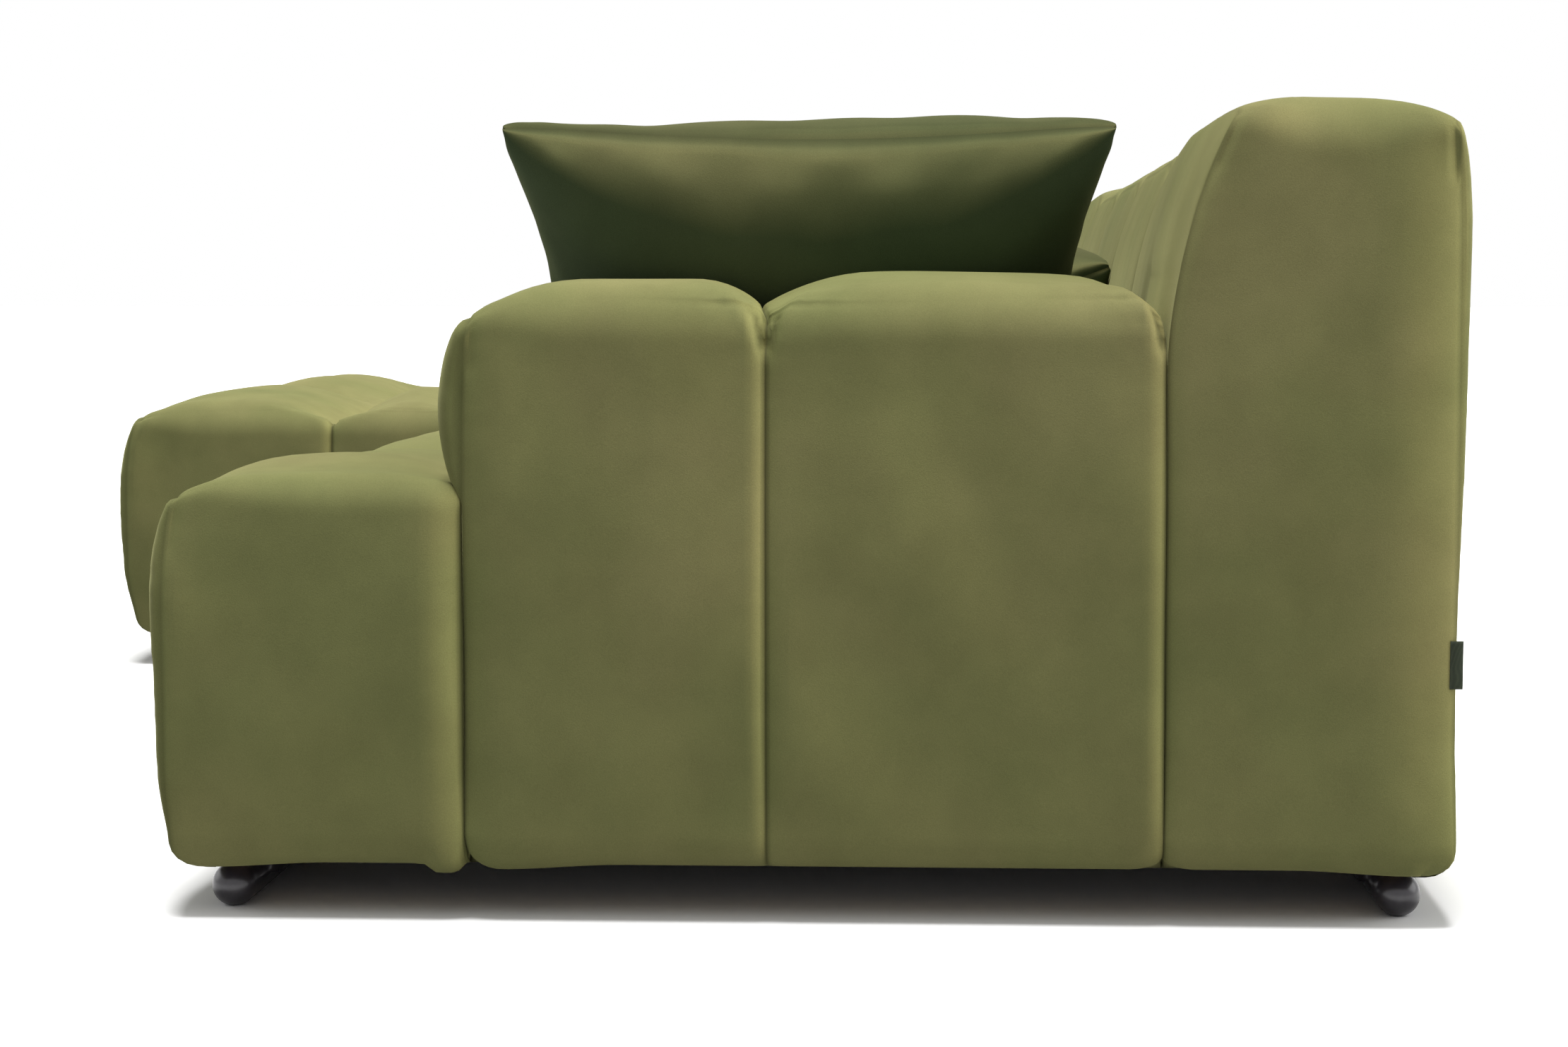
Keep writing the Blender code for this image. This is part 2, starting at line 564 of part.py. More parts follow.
def pillow_mesh():
    """Crowned pillow in the XZ plane: full corners, sides drawn in, edges closed to a seam."""
    bm = bmesh.new()
    wide, high = PILLOW_STEPS_WIDE, PILLOW_STEPS_HIGH
    grid = {}
    for side in (-1, 1):
        for i in range(wide + 1):
            for j in range(high + 1):
                u, v = 2 * i / wide - 1, 2 * j / high - 1
                on_seam = i in (0, wide) or j in (0, high)
                if side > 0 and on_seam:
                    grid[side, i, j] = grid[-1, i, j]
                    continue
                x = PILLOW_WIDTH / 2 * u * (1 - PILLOW_PULL * (1 - v * v) * u * u)
                z = PILLOW_HEIGHT / 2 * v * (1 - PILLOW_PULL * (1 - u * u) * v * v)
                y = side * PILLOW_THICK / 2 * ((1 - u * u) * (1 - v * v)) ** PILLOW_FULLNESS
                grid[side, i, j] = bm.verts.new((x, y, z))
    for side in (-1, 1):
        for i in range(wide):
            for j in range(high):
                bm.faces.new([grid[side, i, j], grid[side, i + 1, j], grid[side, i + 1, j + 1],
                              grid[side, i, j + 1]][::-side])
    bmesh.ops.triangulate(bm, faces=bm.faces[:])
    return bm


def surface(obj):
    """Feeler points and search tree of an object as its modifiers leave it, in world space."""
    graph = bpy.context.evaluated_depsgraph_get()
    shown = obj.evaluated_get(graph)
    mesh = shown.to_mesh()
    corners = [obj.matrix_world @ vert.co for vert in mesh.vertices]
    tree = BVHTree.FromPolygons(corners, [tuple(face.vertices) for face in mesh.polygons])
    points = list(corners)
    for edge in mesh.edges:
        start, end = (corners[index] for index in edge.vertices)
        steps = math.ceil((end - start).length / FEELER_SPACING)
        points += [start.lerp(end, step / steps) for step in range(1, steps)]
    shown.to_mesh_clear()
    return points, tree


def free_way(mover, still, direction):
    """How far the mover can travel along the direction before it meets one of the still objects."""
    points, tree = surface(mover)
    way = FAR
    for other in still:
        other_points, other_tree = surface(other)
        hits = [other_tree.ray_cast(point, direction)[3] for point in points]
        hits += [tree.ray_cast(point, -direction)[3] for point in other_points]
        way = min([way] + [hit for hit in hits if hit is not None])
    return way


def settle(mover, still, direction, gap):
    """Bring the mover against the still objects, to one gap clear of them."""
    bpy.context.view_layer.update()
    mover.location += direction * (free_way(mover, still, direction) - gap)
    bpy.context.view_layer.update()


def add_pillow(name, place, rotation, supports, velvet):
    """Set a pillow down, each support in turn given with the way that leads to it."""
    pillow = add_object(name, pillow_mesh(), velvet, smooth=True)
    pillow.matrix_world = Matrix.Translation(place) @ rotation
    for direction, still in supports:
        settle(pillow, still, Vector(direction), REST_GAP)
    return pillow


def make_pillows(covers, velvet):
    above = SEAT_TOP + PILLOW_HEIGHT
    seat = [covers["settee_seat_cover"], covers["settee_front_cover"], covers["chaise_seat_cover"]]
    quarter_turn = Matrix.Rotation(math.pi / 2, 4, 'Z')
    arm_lean = Matrix.Rotation(ARM_PILLOW_TILT, 4, 'Y') @ quarter_turn
    add_pillow("arm_pillow", Vector((ARM_INNER - PILLOW_HEIGHT, REAR - ARM_PILLOW_FROM_REAR, above)), arm_lean,
               [((0, 0, -1), seat), ((1, 0, 0), [covers["arm_cover"]]), ((0, 0, -1), seat + [covers["arm_cover"]])],
               velvet)
    back_lean = Matrix.Rotation(-BACK_PILLOW_TILT, 4, 'X')
    backs = [covers["settee_back_cover"], covers["chaise_back_cover"]]
    add_pillow("back_pillow", Vector((RIGHT - BACK_PILLOW_FROM_SIDE, BACK_FRONT - PILLOW_HEIGHT, above)), back_lean,
               [((0, 0, -1), seat), ((0, 1, 0), backs), ((0, 0, -1), seat + backs)], velvet)


def make_tab(cover, cloth):
    """A plain sewn tab that lies on the end panel of the back, beside its rear seam."""
    tab = add_box("seam_tab", (RIGHT + FAR / 2, REAR - TAB_WIDTH, TAB_LOW),
                  (RIGHT + FAR / 2 + TAB_THICK, REAR, TAB_LOW + TAB_HEIGHT), cloth)
    settle(tab, [cover], Vector((-1, 0, 0)), GAP)


def build():
    clear_scene()
    velvet = make_material("velvet", (0.125, 0.125, 0.052), 0.85)
    foam = make_material("foam", (0.72, 0.66, 0.48), 0.90)
    timber = make_material("timber", (0.52, 0.36, 0.20), 0.65)
    webbing = make_material("webbing", (0.06, 0.06, 0.06), 0.80)
    dust_cloth = make_material("dust_cloth", (0.02, 0.02, 0.02), 0.95)
    foot_lacquer = make_material("foot_lacquer", (0.040, 0.036, 0.042), 0.35)
    steel = make_material("steel", (0.55, 0.56, 0.58), 0.35, 1.0)
    tab_cloth = make_material("tab_cloth", (0.012, 0.026, 0.018), 0.80)

    covers = make_covers(velvet)
    make_base_rooms(covers)
    make_seat_cores(covers, foam)

    settee_high = RIGHT_RAIL_X + RAIL_THICK
    chaise_high = CHAISE_SPLIT_RAIL_X + RAIL_THICK
    settee_base = make_base("settee", SETTEE_SPLIT_RAIL_X, settee_high, FRONT_RAIL_Y, timber)
    chaise_base = make_base("chaise", LEFT_RAIL_X, chaise_high, CHAISE_RAIL_Y, timber)
    make_arm_core(covers["arm_cover"], timber, foam)
    make_back_core("settee", covers["settee_back_cover"], SETTEE_SPLIT_RAIL_X + POST_STEP, settee_high - POST_STEP,
                   ("left", "middle", "right"), timber, foam)
    make_back_core("chaise", covers["chaise_back_cover"], LEFT_RAIL_X + POST_STEP, chaise_high - POST_STEP,
                   ("left", "right"), timber, foam)
    make_settee_straps(webbing)
    make_chaise_straps(webbing)
    make_dust_cover("settee", SETTEE_SPLIT_RAIL_X, settee_high, FRONT_RAIL_Y, dust_cloth)
    make_dust_cover("chaise", LEFT_RAIL_X, chaise_high, CHAISE_RAIL_Y, dust_cloth)
    make_feet("settee", settee_base, SPLIT + FOOT_INSET, RIGHT - FOOT_INSET, FRONT_RAIL_Y, foot_lacquer)
    make_feet("chaise", chaise_base, LEFT + FOOT_INSET, SPLIT - FOOT_INSET, CHAISE_RAIL_Y, foot_lacquer)
    make_joining_plates(covers, settee_base["left_rail"], chaise_base["right_rail"], steel)
    make_pillows(covers, velvet)
    make_tab(covers["settee_back_cover"], tab_cloth)


build()
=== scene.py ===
"""Looks of the corner lounge sofa: velvet covers, loose pillows, feet, floor and light.

Metres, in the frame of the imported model. The arm end is at +X and the front faces -Y.
"""
import math
from collections import namedtuple
from types import SimpleNamespace

import bmesh
import bpy
import numpy as np
from mathutils import Matrix, Vector
from mathutils.bvhtree import BVHTree


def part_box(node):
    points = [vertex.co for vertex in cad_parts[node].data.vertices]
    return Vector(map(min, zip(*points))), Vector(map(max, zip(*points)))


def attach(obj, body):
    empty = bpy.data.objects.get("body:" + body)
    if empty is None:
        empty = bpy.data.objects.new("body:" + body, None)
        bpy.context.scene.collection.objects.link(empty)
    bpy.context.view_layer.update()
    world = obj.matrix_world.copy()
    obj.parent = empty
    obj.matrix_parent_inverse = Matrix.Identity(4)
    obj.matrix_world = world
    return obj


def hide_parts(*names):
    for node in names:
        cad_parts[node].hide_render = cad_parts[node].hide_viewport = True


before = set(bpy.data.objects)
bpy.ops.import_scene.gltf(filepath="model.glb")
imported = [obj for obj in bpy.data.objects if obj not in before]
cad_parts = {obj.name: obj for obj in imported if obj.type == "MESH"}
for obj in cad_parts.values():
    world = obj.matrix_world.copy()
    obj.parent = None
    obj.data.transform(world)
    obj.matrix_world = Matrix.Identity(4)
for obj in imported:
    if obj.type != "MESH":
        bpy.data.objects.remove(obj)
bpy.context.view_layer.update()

# Plan of the tufts, as in the part's source
COLUMN = 0.536
LEFT, SPLIT, RIGHT = -1.340, -0.268, 1.340
ARM_INNER = 1.040
TIP, CHAISE_ROW, SETTEE_FRONT, ROW_ONE, ROW_TWO, BACK_FRONT, REAR = (
    -0.8315, -0.5355, -0.3045, -0.0395, 0.2325, 0.5865, 0.8435)
UNDERSIDE, SEAT_TOP, ARM_TOP, BACK_TOP = 0.043, 0.395, 0.572, 0.735
PAD = 0.034
BACK_LEAN, LEAN_START, LEAN_POWER = 0.060, 0.500, 1.7
HALF_GAP = 0.00015  # from a plan line to the cover beside it
FAR = 9.0  # further than anything on the sofa

# Meshes of the covers
SPACING = 0.010  # mean step
FINE_STEP = 0.006  # step down the upper part of a wall
FINE_DEPTH = 0.120  # height of that part
HIDDEN_STEP = 0.080  # step down a wall that no one sees
CLUSTER = 0.78  # of the steps beside a seam
HEM_RADIUS = 0.026
HEM_STEPS = 5
BOTTOM_LIFT = 0.0115  # underside of a cover above its lower edge
FLANGE_LIFT = 0.004  # the same under a seen wall
WELD = 0.00002

# Forms of the covers
Dip = namedtuple("Dip", "depth reach roundness")
Soft = namedtuple("Soft", "crown depth reach front middle rear "
                          "front_groove rear_groove front_bulge rear_bulge bow")
End = namedtuple("End", "fall start stop lift")
Block = namedtuple("Block", "node x_lines y_lines top soft sides feet")
GROOVE = Dip(0.006, 0.016, 0.3)  # beside a seam on an end panel
SHALLOW_GROOVE = Dip(0.003, 0.010, 0.3)
WIDE_GROOVE = Dip(0.013, 0.034, 0.5)
EDGE = Dip(0.002, 0.012, 0.0)  # beside a sewn edge on the top
SEAT_DIP = Dip(0.034, 0.115, 0.2)
SEAT_SOFT = Soft(0.004, 0.032, 0.130, Dip(0.018, 0.070, 0.3), SEAT_DIP, SEAT_DIP,
                 SHALLOW_GROOVE, WIDE_GROOVE, 0.024, 0.0, 0.005)
INNER_SEAT_SOFT = SEAT_SOFT._replace(crown=0.014, front=SEAT_DIP)
CHAISE_SOFT = Soft((0.014, 0.026, 0.020, 0.018, 0.014), 0.032, 0.130,
                   Dip(0.022, 0.125, 0.2), Dip(0.042, 0.148, 0.1), SEAT_DIP,
                   SHALLOW_GROOVE, GROOVE, 0.023, 0.0, 0.014)
ARM_SOFT = Soft((0.005, 0.012), 0.030, 0.070,
                Dip(0.028, 0.105, 0.4), Dip(0.026, 0.078, 0.3), Dip(0.055, 0.080, 1.0),
                WIDE_GROOVE, GROOVE, 0.030, 0.0, 0.0)
BACK_SOFT = Soft(0.005, 0.026, 0.100, Dip(0.009, 0.080, 0.2), None, Dip(0.017, 0.110, 0.2),
                 GROOVE, Dip(0.016, 0.070, 0.5), 0.004, 0.0165, 0.0)
FRONT_END = End(Dip(0.030, 0.130, 0.3), 0.15, 0.45, 0.008)  # fall of a row away from its end panel
BACK_END = End(Dip(0.022, 0.090, 0.3), 0.36, 0.57, 0.0)
ENDS = {"settee_front_cover": FRONT_END, "settee_back_cover": BACK_END, "chaise_back_cover": BACK_END}

# Rolls and valleys
ROLL = 0.050  # radius where an end panel turns over to the top
FRONT_ROLL = 0.032  # the same on the front row
LEAST_ROLL = 0.0004  # the same where there is no roll
CORNER_ROLL = 0.45  # share of that radius left at a sewn edge
CORNER_REACH = 0.10  # from a sewn edge to the full radius
ROLL_TURN = 0.004  # half the length in which a roll ends
MIX = 3.0  # sharpness where two valleys cross
LONG_ROUNDNESS = 0.2
CROWN_REACH = 0.20  # from a seam to the full crown of a tuft
END_CROWN_REACH = 0.18  # the same from an end of the top
ARM_SIDE_DEPTH = 0.030  # valley of the front row beside the arm
CORNER_DEPTH = 0.010  # the same at its end panel
CHAISE_DEPTH = 0.006  # added to the chaise's valleys away from the settee
CHAISE_REACH = 0.060  # the same for their width
CORE_DEPTH = 0.0480  # deepest valley of a seat, which keeps it off the foam core
ARM_SKEW = 0.026  # how far the arm's middle valley runs forward on its way in
LOW_REACH = 0.12  # from the lower edge to full grooves and folds
LOW_SHARE = 0.35  # of a groove, left at the lower edge
WALL_SWELL = 0.007
UNEVEN, BACK_UNEVEN = 0.0022, 0.0010

# Seams, folds and pleats. Heights are from where the folds run together
PINCH_PULL = 0.008  # of the top corner of a sewn edge, inwards
PINCH_REACH = 0.12
PINCH_DROP = 0.065  # from the top to where folds run together
CHAISE_PINCH = 0.030  # how much higher that is on the chaise
BOW_REACH = 0.10  # of the bow, from a sewn edge
NOTCH = (-0.01, 0.08)  # heights in which a groove becomes a valley
OPENING, CHAISE_OPENING = (0.03, 0.15), (0.0, 0.09)  # the same for its width
LIP_DEPTH, CREASE_DEPTH, CREASE_WIDTH = 0.005, 0.008, 0.0030
FAN_DEPTH, STAR_DEPTH = 0.0022, 0.0022  # pleats at pinches and at crossings
TUCK = 0.0028  # fold beside a sewn edge
SEAM_CLEAR = 0.012  # from a seam to the full height of its puckers
PANEL_PUCKER, TOP_PUCKER, LONG_PUCKER = 0.0003, 0.0015, 0.0016
SEAM_WIDTH = 0.0024  # of the dark line along a seam
PALE_SEAM = 0.45  # strength of that line on a sewn edge

# Front and rear faces
FACE_REACH = 0.09  # from an edge to the full bulge
FRONT_FOOT_REACH = 0.22  # the same above the floor
REAR_FLARE = 0.007  # of the rear face near the floor
FACE_CLEAR = 0.03  # from a seam or the foot to full folds
RIM_CLEAR = 0.02  # the same from its upper edge
LOOSE_FOLDS, TIGHT_FOLDS = (0.0018, 0.0006, 0.0014), (0.0008, 0.0003, 0.0003)  # swell, pucker, pleat
REAR_FOLDS = (0.0008, 0.0003, 0.0004)

# Lower edges
LOW_CORNER = 0.010  # rise at the corners of an end panel
ARM_LOW_CORNER = 0.020  # the same at the front of the arm
LOW_CORNER_DIP = (0.030, 0.8)
BOTTOM_RISE = 0.005  # rise away from the sofa's corners
TONGUE = 0.009  # how far the front row's cloth hangs down
NEAR_SIDE = 0.020

# Pillows
PILLOW_SIZE = (0.612, 0.200, 0.430)
ARM_PILLOW_TILT = math.radians(40)
BACK_PILLOW_TILT = math.radians(70)
ARM_PILLOW_LEAN = 0.012  # how far its ends are pushed askew
PILLOW_MARGIN = 0.0010  # between a pillow and what it leans on
BLUNT = 0.009  # of the corners
WAIST = 0.10  # of the edges between the corners
FULLNESS = 0.40
RIM_WAVE = 0.0022
FILLING_RISE = 0.018  # of the filling behind the upper seam
SEAM_SINK = 0.005  # of the seam below the cloth beside it
PILLOW_SEAM, PILLOW_SEAM_WIDTH = 0.6, 0.008
FLAT_SHARE, WRINKLE = 0.7, 0.0008  # of a pillow before it is blown up
CLOTH_FRAMES = 24
CLOTH = {"quality": 7, "mass": 0.12, "tension_stiffness": 18, "compression_stiffness": 18,
         "shear_stiffness": 6, "bending_stiffness": 0.4, "shrink_min": -0.012,
         "vertex_group_mass": "rim", "use_pressure": True, "uniform_pressure_force": 6.0}

# Feet
FOOT_RADIUS, SADDLE_LENGTH, SADDLE_WIDTH, STUD_RADIUS = 0.0205, 0.100, 0.024, 0.0035
RAIL_LOW = 0.0487

# Floor, light and camera
WORLD_LIGHT = 0.25
FLOOR_SEEN, FLOOR_BOUNCE = 1.15, 0.37
SUNS = [
    ("overhead", (-0.05, 0.03, -1.0), 3.25, 18),
    ("fill", (-1.0, 0.05, -1.6), 0.21, 40),
    ("side", (0.02, -1.0, -0.6), 1.05, 50),
    ("front", (0.25, 1.0, -0.5), 0.35, 40),
]
CAMERA_PLACE = (3.7104, 0.4085, 0.5727)
CAMERA_YAW, CAMERA_PITCH = math.radians(2.3), math.radians(4.0)
SENSOR, LENS, SHIFT = 36.0, 61.83, (-0.0461, -0.0333)


# Small numeric helpers

def quarter(share):
    """Quarter circle: 0 at 0 with an upright start, 1 from 1 on."""
    share = np.clip(share, 0.0, 1.0)
    return np.sqrt(1 - (1 - share) ** 2)


def dip(share, roundness):
    """1 at a seam and 0 from one reach away: a parabola, or a quarter circle at roundness 1."""
    away = 1 - np.clip(share, 0.0, 1.0)
    return away ** 2 * (1 - roundness) + (1 - np.sqrt(1 - away ** 2)) * roundness


def smooth(low, high, value):
    share = np.clip((value - low) / (high - low), 0.0, 1.0)
    return share * share * (3 - 2 * share)


def band(start, full, fade, end, value):
    """0 outside a band and 1 in its middle."""
    return smooth(start, full, value) * (1 - smooth(fade, end, value))


def hump(value, width, place=0.0):
    return np.exp(-((value - place) / width) ** 2)


def nearest(values, lines):
    """Distance from each value to the closest of the lines."""
    values = np.asarray(values, dtype=float)
    if not len(lines):
        return np.full(values.shape, FAR)
    return np.min(np.abs(values[..., None] - np.asarray(lines, dtype=float)), axis=-1)


def cell_dome(values, lines, heights):
    """Parabola over each cell: 0 at the lines, the cell's height in the middle."""
    values = np.asarray(values, dtype=float)
    index = np.clip(np.searchsorted(lines, values, side="right") - 1, 0, len(lines) - 2)
    start, end = np.asarray(lines)[index], np.asarray(lines)[index + 1]
    share = np.clip((values - start) / (end - start), 0.0, 1.0)
    return 4 * share * (1 - share) * np.broadcast_to(heights, len(lines) - 1)[index]


def cell_steps(lines):
    """Positions between sewing lines, closer together beside each line."""
    parts = []
    for start, end in zip(lines, lines[1:]):
        count = max(int(round((end - start) / SPACING)), 4)
        share = np.arange(count) / count
        share = share - CLUSTER * np.sin(2 * np.pi * share) / (2 * np.pi)
        parts.append(start + (end - start) * share)
    return np.concatenate(parts + [[lines[-1]]])


def ripple(values, seed, lengths=(0.019, 0.029, 0.045, 0.071)):
    """Uneven waves along a line, about -1 to 1."""
    rng = np.random.default_rng(seed)
    total = np.zeros(np.shape(values))
    for length in lengths:
        total = total + np.sin(2 * np.pi * np.asarray(values) / length + rng.uniform(0, 2 * np.pi))
    return total / math.sqrt(len(lengths))


def swell(x, y, z, seed, length=0.22, count=9):
    """Slow uneven swell through space, about -1 to 1."""
    rng = np.random.default_rng(seed)
    total = np.zeros(np.shape(x))
    for _ in range(count):
        way = rng.normal(size=3)
        way = way / np.linalg.norm(way) * 2 * np.pi / (length * rng.uniform(0.6, 1.6))
        total = total + np.sin(way[0] * x + way[1] * y + way[2] * z + rng.uniform(0, 2 * np.pi))
    return total / math.sqrt(count)


# Covers: a strip that runs up one end, over the top and down the other,
# with a face at the front and at the rear

def wall_levels(block):
    """Heights of a wall's points, from the lower edge to just below the top."""
    top = block.top
    low = UNDERSIDE + HEM_RADIUS
    foot = UNDERSIDE + HEM_RADIUS * np.arange(HEM_STEPS) / HEM_STEPS
    if all(kind == "valley" for kind in block.sides.values()):
        return np.concatenate([foot, np.arange(low, top - HIDDEN_STEP / 2, HIDDEN_STEP)])
    turn = top - FINE_DEPTH
    wall = np.linspace(low, turn, int(round((turn - low) / SPACING)) + 1)[:-1]
    fine = np.linspace(turn, top, int(round(FINE_DEPTH / FINE_STEP)) + 1)[:-1]
    return np.concatenate([foot, wall, fine])


def roll_share(block, side, y):
    """1 where the end panel turns over in a roll, 0 where it meets a neighbour in a valley."""
    kind = block.sides[side]
    if kind == "roll":
        return np.ones_like(y)
    if kind == "roll_front":
        return 1 - smooth(SETTEE_FRONT - ROLL_TURN, SETTEE_FRONT + ROLL_TURN, y)
    return np.zeros_like(y)


def sewn_edges(block):
    """The lines where the top is sewn to a face, each with its outward sign and its fall."""
    ends = (("-y", block.y_lines[0], -1, block.soft.front), ("+y", block.y_lines[-1], 1, block.soft.rear))
    return {line: (sign, fall) for side, line, sign, fall in ends if block.sides[side] == "seam"}


def lay_path(block, px, levels, y):
    """The strip before it is shaped, with what the shaping steps need to know of each point."""
    top, start, end = block.top, px[0], px[-1]
    rows, columns = len(levels), len(px)
    y = y[None, :]
    x = np.concatenate([np.full(rows, start), px, np.full(rows, end)])[:, None]
    fall = np.zeros((len(x), y.size))
    for line, (_, spec) in sewn_edges(block).items():
        fall = np.maximum(fall, spec.depth * dip(np.abs(y - line) / spec.reach, spec.roundness))
    if block.node in ENDS:
        row_end = ENDS[block.node]
        from_end = end - x if block.sides["+x"] == "roll" else x - start
        off = dip((y - block.y_lines[0]) / row_end.fall.reach, row_end.fall.roundness)
        fall = (fall + row_end.fall.depth * off * smooth(row_end.start, row_end.stop, from_end)
                - row_end.lift * (1 - smooth(0.05, 0.55, from_end)))
    crest = top - fall
    level = np.concatenate([levels, np.full(columns, top), levels[::-1]])[:, None]
    z = UNDERSIDE + (level - UNDERSIDE) * (crest - UNDERSIDE) / (top - UNDERSIDE)
    on_top = np.zeros_like(x, dtype=bool)
    on_top[rows:rows + columns] = True
    left, right = roll_share(block, "-x", y), roll_share(block, "+x", y)
    at_right = x > (start + end) / 2
    inward = np.where(on_top, np.minimum(x - start, end - x), 0.0)
    above = z - (crest - PINCH_DROP) + inward
    if block.node == "chaise_seat_cover":
        above = above - CHAISE_PINCH
    return SimpleNamespace(
        start=start, end=end, rows=rows, columns=columns, x=x, y=y, z=z, level=level, crest=crest,
        on_top=on_top, at_right=at_right, left=left, right=right, rolled=np.where(at_right, right, left),
        inward=inward, above=above, notch=smooth(*NOTCH, above),
        low=smooth(UNDERSIDE, UNDERSIDE + LOW_REACH, z))


def roll_over(block, path):
    """X and Z of the strip with its rolls, and the way out of its surface."""
    roll = FRONT_ROLL if block.node == "settee_front_cover" else ROLL
    from_edge = nearest(path.y, list(sewn_edges(block)))
    roll = roll * (CORNER_ROLL + (1 - CORNER_ROLL) * smooth(0.0, CORNER_REACH, from_edge))
    radius = np.maximum(roll * path.rolled, LEAST_ROLL)
    core_x = np.clip(path.x, path.start + np.maximum(roll * path.left, LEAST_ROLL),
                     path.end - np.maximum(roll * path.right, LEAST_ROLL))
    core_z = np.minimum(path.z, path.crest - radius)
    across, up = path.x - core_x, path.z - core_z
    length = np.maximum(np.hypot(across, up), 1e-9)
    sharp = (path.rolled < 0.5) & path.on_top
    normal_x, normal_z = np.where(sharp, 0.0, across / length), np.where(sharp, 1.0, up / length)
    return core_x + radius * across / length, core_z + radius * up / length, normal_x, normal_z


def seam_form(block, path, line):
    """The dip at a seam along X: a groove on the end panels that opens to a valley on the top."""
    soft, front, rear = block.soft, block.y_lines[0], block.y_lines[-1]
    chaise, sewn = block.node == "chaise_seat_cover", line in sewn_edges(block)
    spec = EDGE if sewn else soft.front if line == front else soft.rear if line == rear else soft.middle
    groove = soft.front_groove if line == front else soft.rear_groove if line == rear else GROOVE
    opening = smooth(*(CHAISE_OPENING if chaise else OPENING), path.above)
    valley = spec.depth
    reach = groove.reach + (spec.reach - groove.reach) * opening
    if block.node == "settee_front_cover" and line == rear:
        valley = valley + (ARM_SIDE_DEPTH - valley) * smooth(ARM_INNER - 0.25, ARM_INNER - 0.05, path.x)
        valley = valley + (CORNER_DEPTH - valley) * smooth(path.end - 0.08, path.end, path.x)
    if chaise and not sewn:
        from_settee = smooth(0.05, 0.30, path.end - path.x)
        valley = valley + CHAISE_DEPTH * from_settee
        reach = reach + CHAISE_REACH * from_settee * path.on_top
    if block.node == "arm_cover" and line not in (front, rear):
        reach = reach * np.where(path.y > line, 1.20, 0.85)
    return Dip(groove.depth + (valley - groove.depth) * path.notch, reach,
               groove.roundness + (spec.roundness - groove.roundness) * path.notch)


def lip_and_crease(path, away):
    """The edges of two panels turn sharply in where they run together."""
    width = 0.0005 + 0.21 * np.maximum(path.above, 0.0)
    size = band(0.0, 0.012, 0.045, 0.062, path.above) * path.rolled
    crease = size * hump(away, CREASE_WIDTH, width)
    return LIP_DEPTH * size * (1 - smooth(0.70, 1.0, away / width)) + CREASE_DEPTH * crease, crease


def fan_pleats(path, line, number):
    """Pleats that fan out from where two panels run together."""
    away = np.abs(path.y - line)
    fan = away / (np.maximum(path.above, 0.0) + 0.012)
    size = band(0.0, 0.05, 0.09, 0.18, path.above) * path.rolled
    return FAN_DEPTH * size * np.exp(-fan / 0.6) * quarter(away / 0.014) * np.sin(
        2 * np.pi * fan / 0.34 + 1.1 * number + 0.7 * np.sign(path.y - line))


def cross_seams(block, path, seed):
    """Drop, lips, creases and folds at the seams along X."""
    drop, lips, creases, folds = (np.zeros_like(path.z) for _ in range(4))
    run = np.where(path.on_top, path.x + block.top, np.where(
        path.at_right, path.end + 2 * block.top - path.z, path.z + path.start))
    for number, line in enumerate(block.y_lines):
        sewn = line in sewn_edges(block)
        plain = sewn or (block.node == "settee_front_cover" and line == block.y_lines[-1])
        form = seam_form(block, path, line)
        away = np.abs(path.y - line)
        drop = np.maximum(drop, form.depth * dip(away / form.reach, form.roundness))
        if not plain:
            lip, crease = lip_and_crease(path, away)
            lips, creases = np.maximum(lips, lip), np.maximum(creases, crease)
            folds = folds + fan_pleats(path, line, number)
        if sewn:
            size = band(-0.005, 0.02, 0.045, 0.065, path.above) * path.rolled
            folds = folds - TUCK * size * hump(away, 0.0034, 0.007)
        # Puckers along the whole seam
        pucker = PANEL_PUCKER + (0.0 if plain else TOP_PUCKER) * path.notch
        fade = np.exp(-away / (0.012 + 0.028 * path.notch)) * quarter(away / SEAM_CLEAR)
        folds = folds + pucker * ripple(run, seed + 11 * number) * fade
    return drop, lips, creases, folds


def long_seams(block, path, folds, seed):
    """Drop and crown at the seams along Y, on the top alone, and the folds with theirs added."""
    soft, x, y, on_top = block.soft, path.x, path.y, path.on_top
    lines = block.x_lines[1:-1]
    drop = soft.depth * dip(nearest(x, lines) / soft.reach, LONG_ROUNDNESS) * np.ones_like(y)
    crown = 1 - (1 - np.clip(nearest(x, lines) / CROWN_REACH, 0, 1)) ** 2
    for line, share in ((path.start, path.left), (path.end, path.right)):
        away = np.abs(x - line)
        drop = np.maximum(drop, (1 - share) * soft.depth * dip(away / soft.reach, LONG_ROUNDNESS))
        crown = crown * smooth(0.0, END_CROWN_REACH, away)
    for number, line in enumerate(lines):
        away = np.abs(x - line)
        fade = np.exp(-away / 0.034) * quarter(away / SEAM_CLEAR) * on_top
        folds = folds + LONG_PUCKER * ripple(y, seed + 5 + 7 * number) * fade
        # Pleats around the points where two seams cross
        for place, row in enumerate(block.y_lines):
            far, turn = np.hypot(x - line, y - row), np.arctan2(y - row, x - line)
            pleats = np.sin(8 * turn + 2.1 * place + number) + 0.6 * np.sin(13 * turn + 1.3 * number)
            folds = folds + STAR_DEPTH * pleats * np.exp(-far / 0.040) * smooth(0.0, 0.02, far) * on_top
    return drop * on_top, crown, folds


def keep_above(z, floor, blend):
    """Smooth maximum of a height and a floor."""
    above = z - floor
    share = np.clip(0.5 + 0.5 * above / blend, 0, 1)
    return floor + share * above + blend * share * (1 - share)


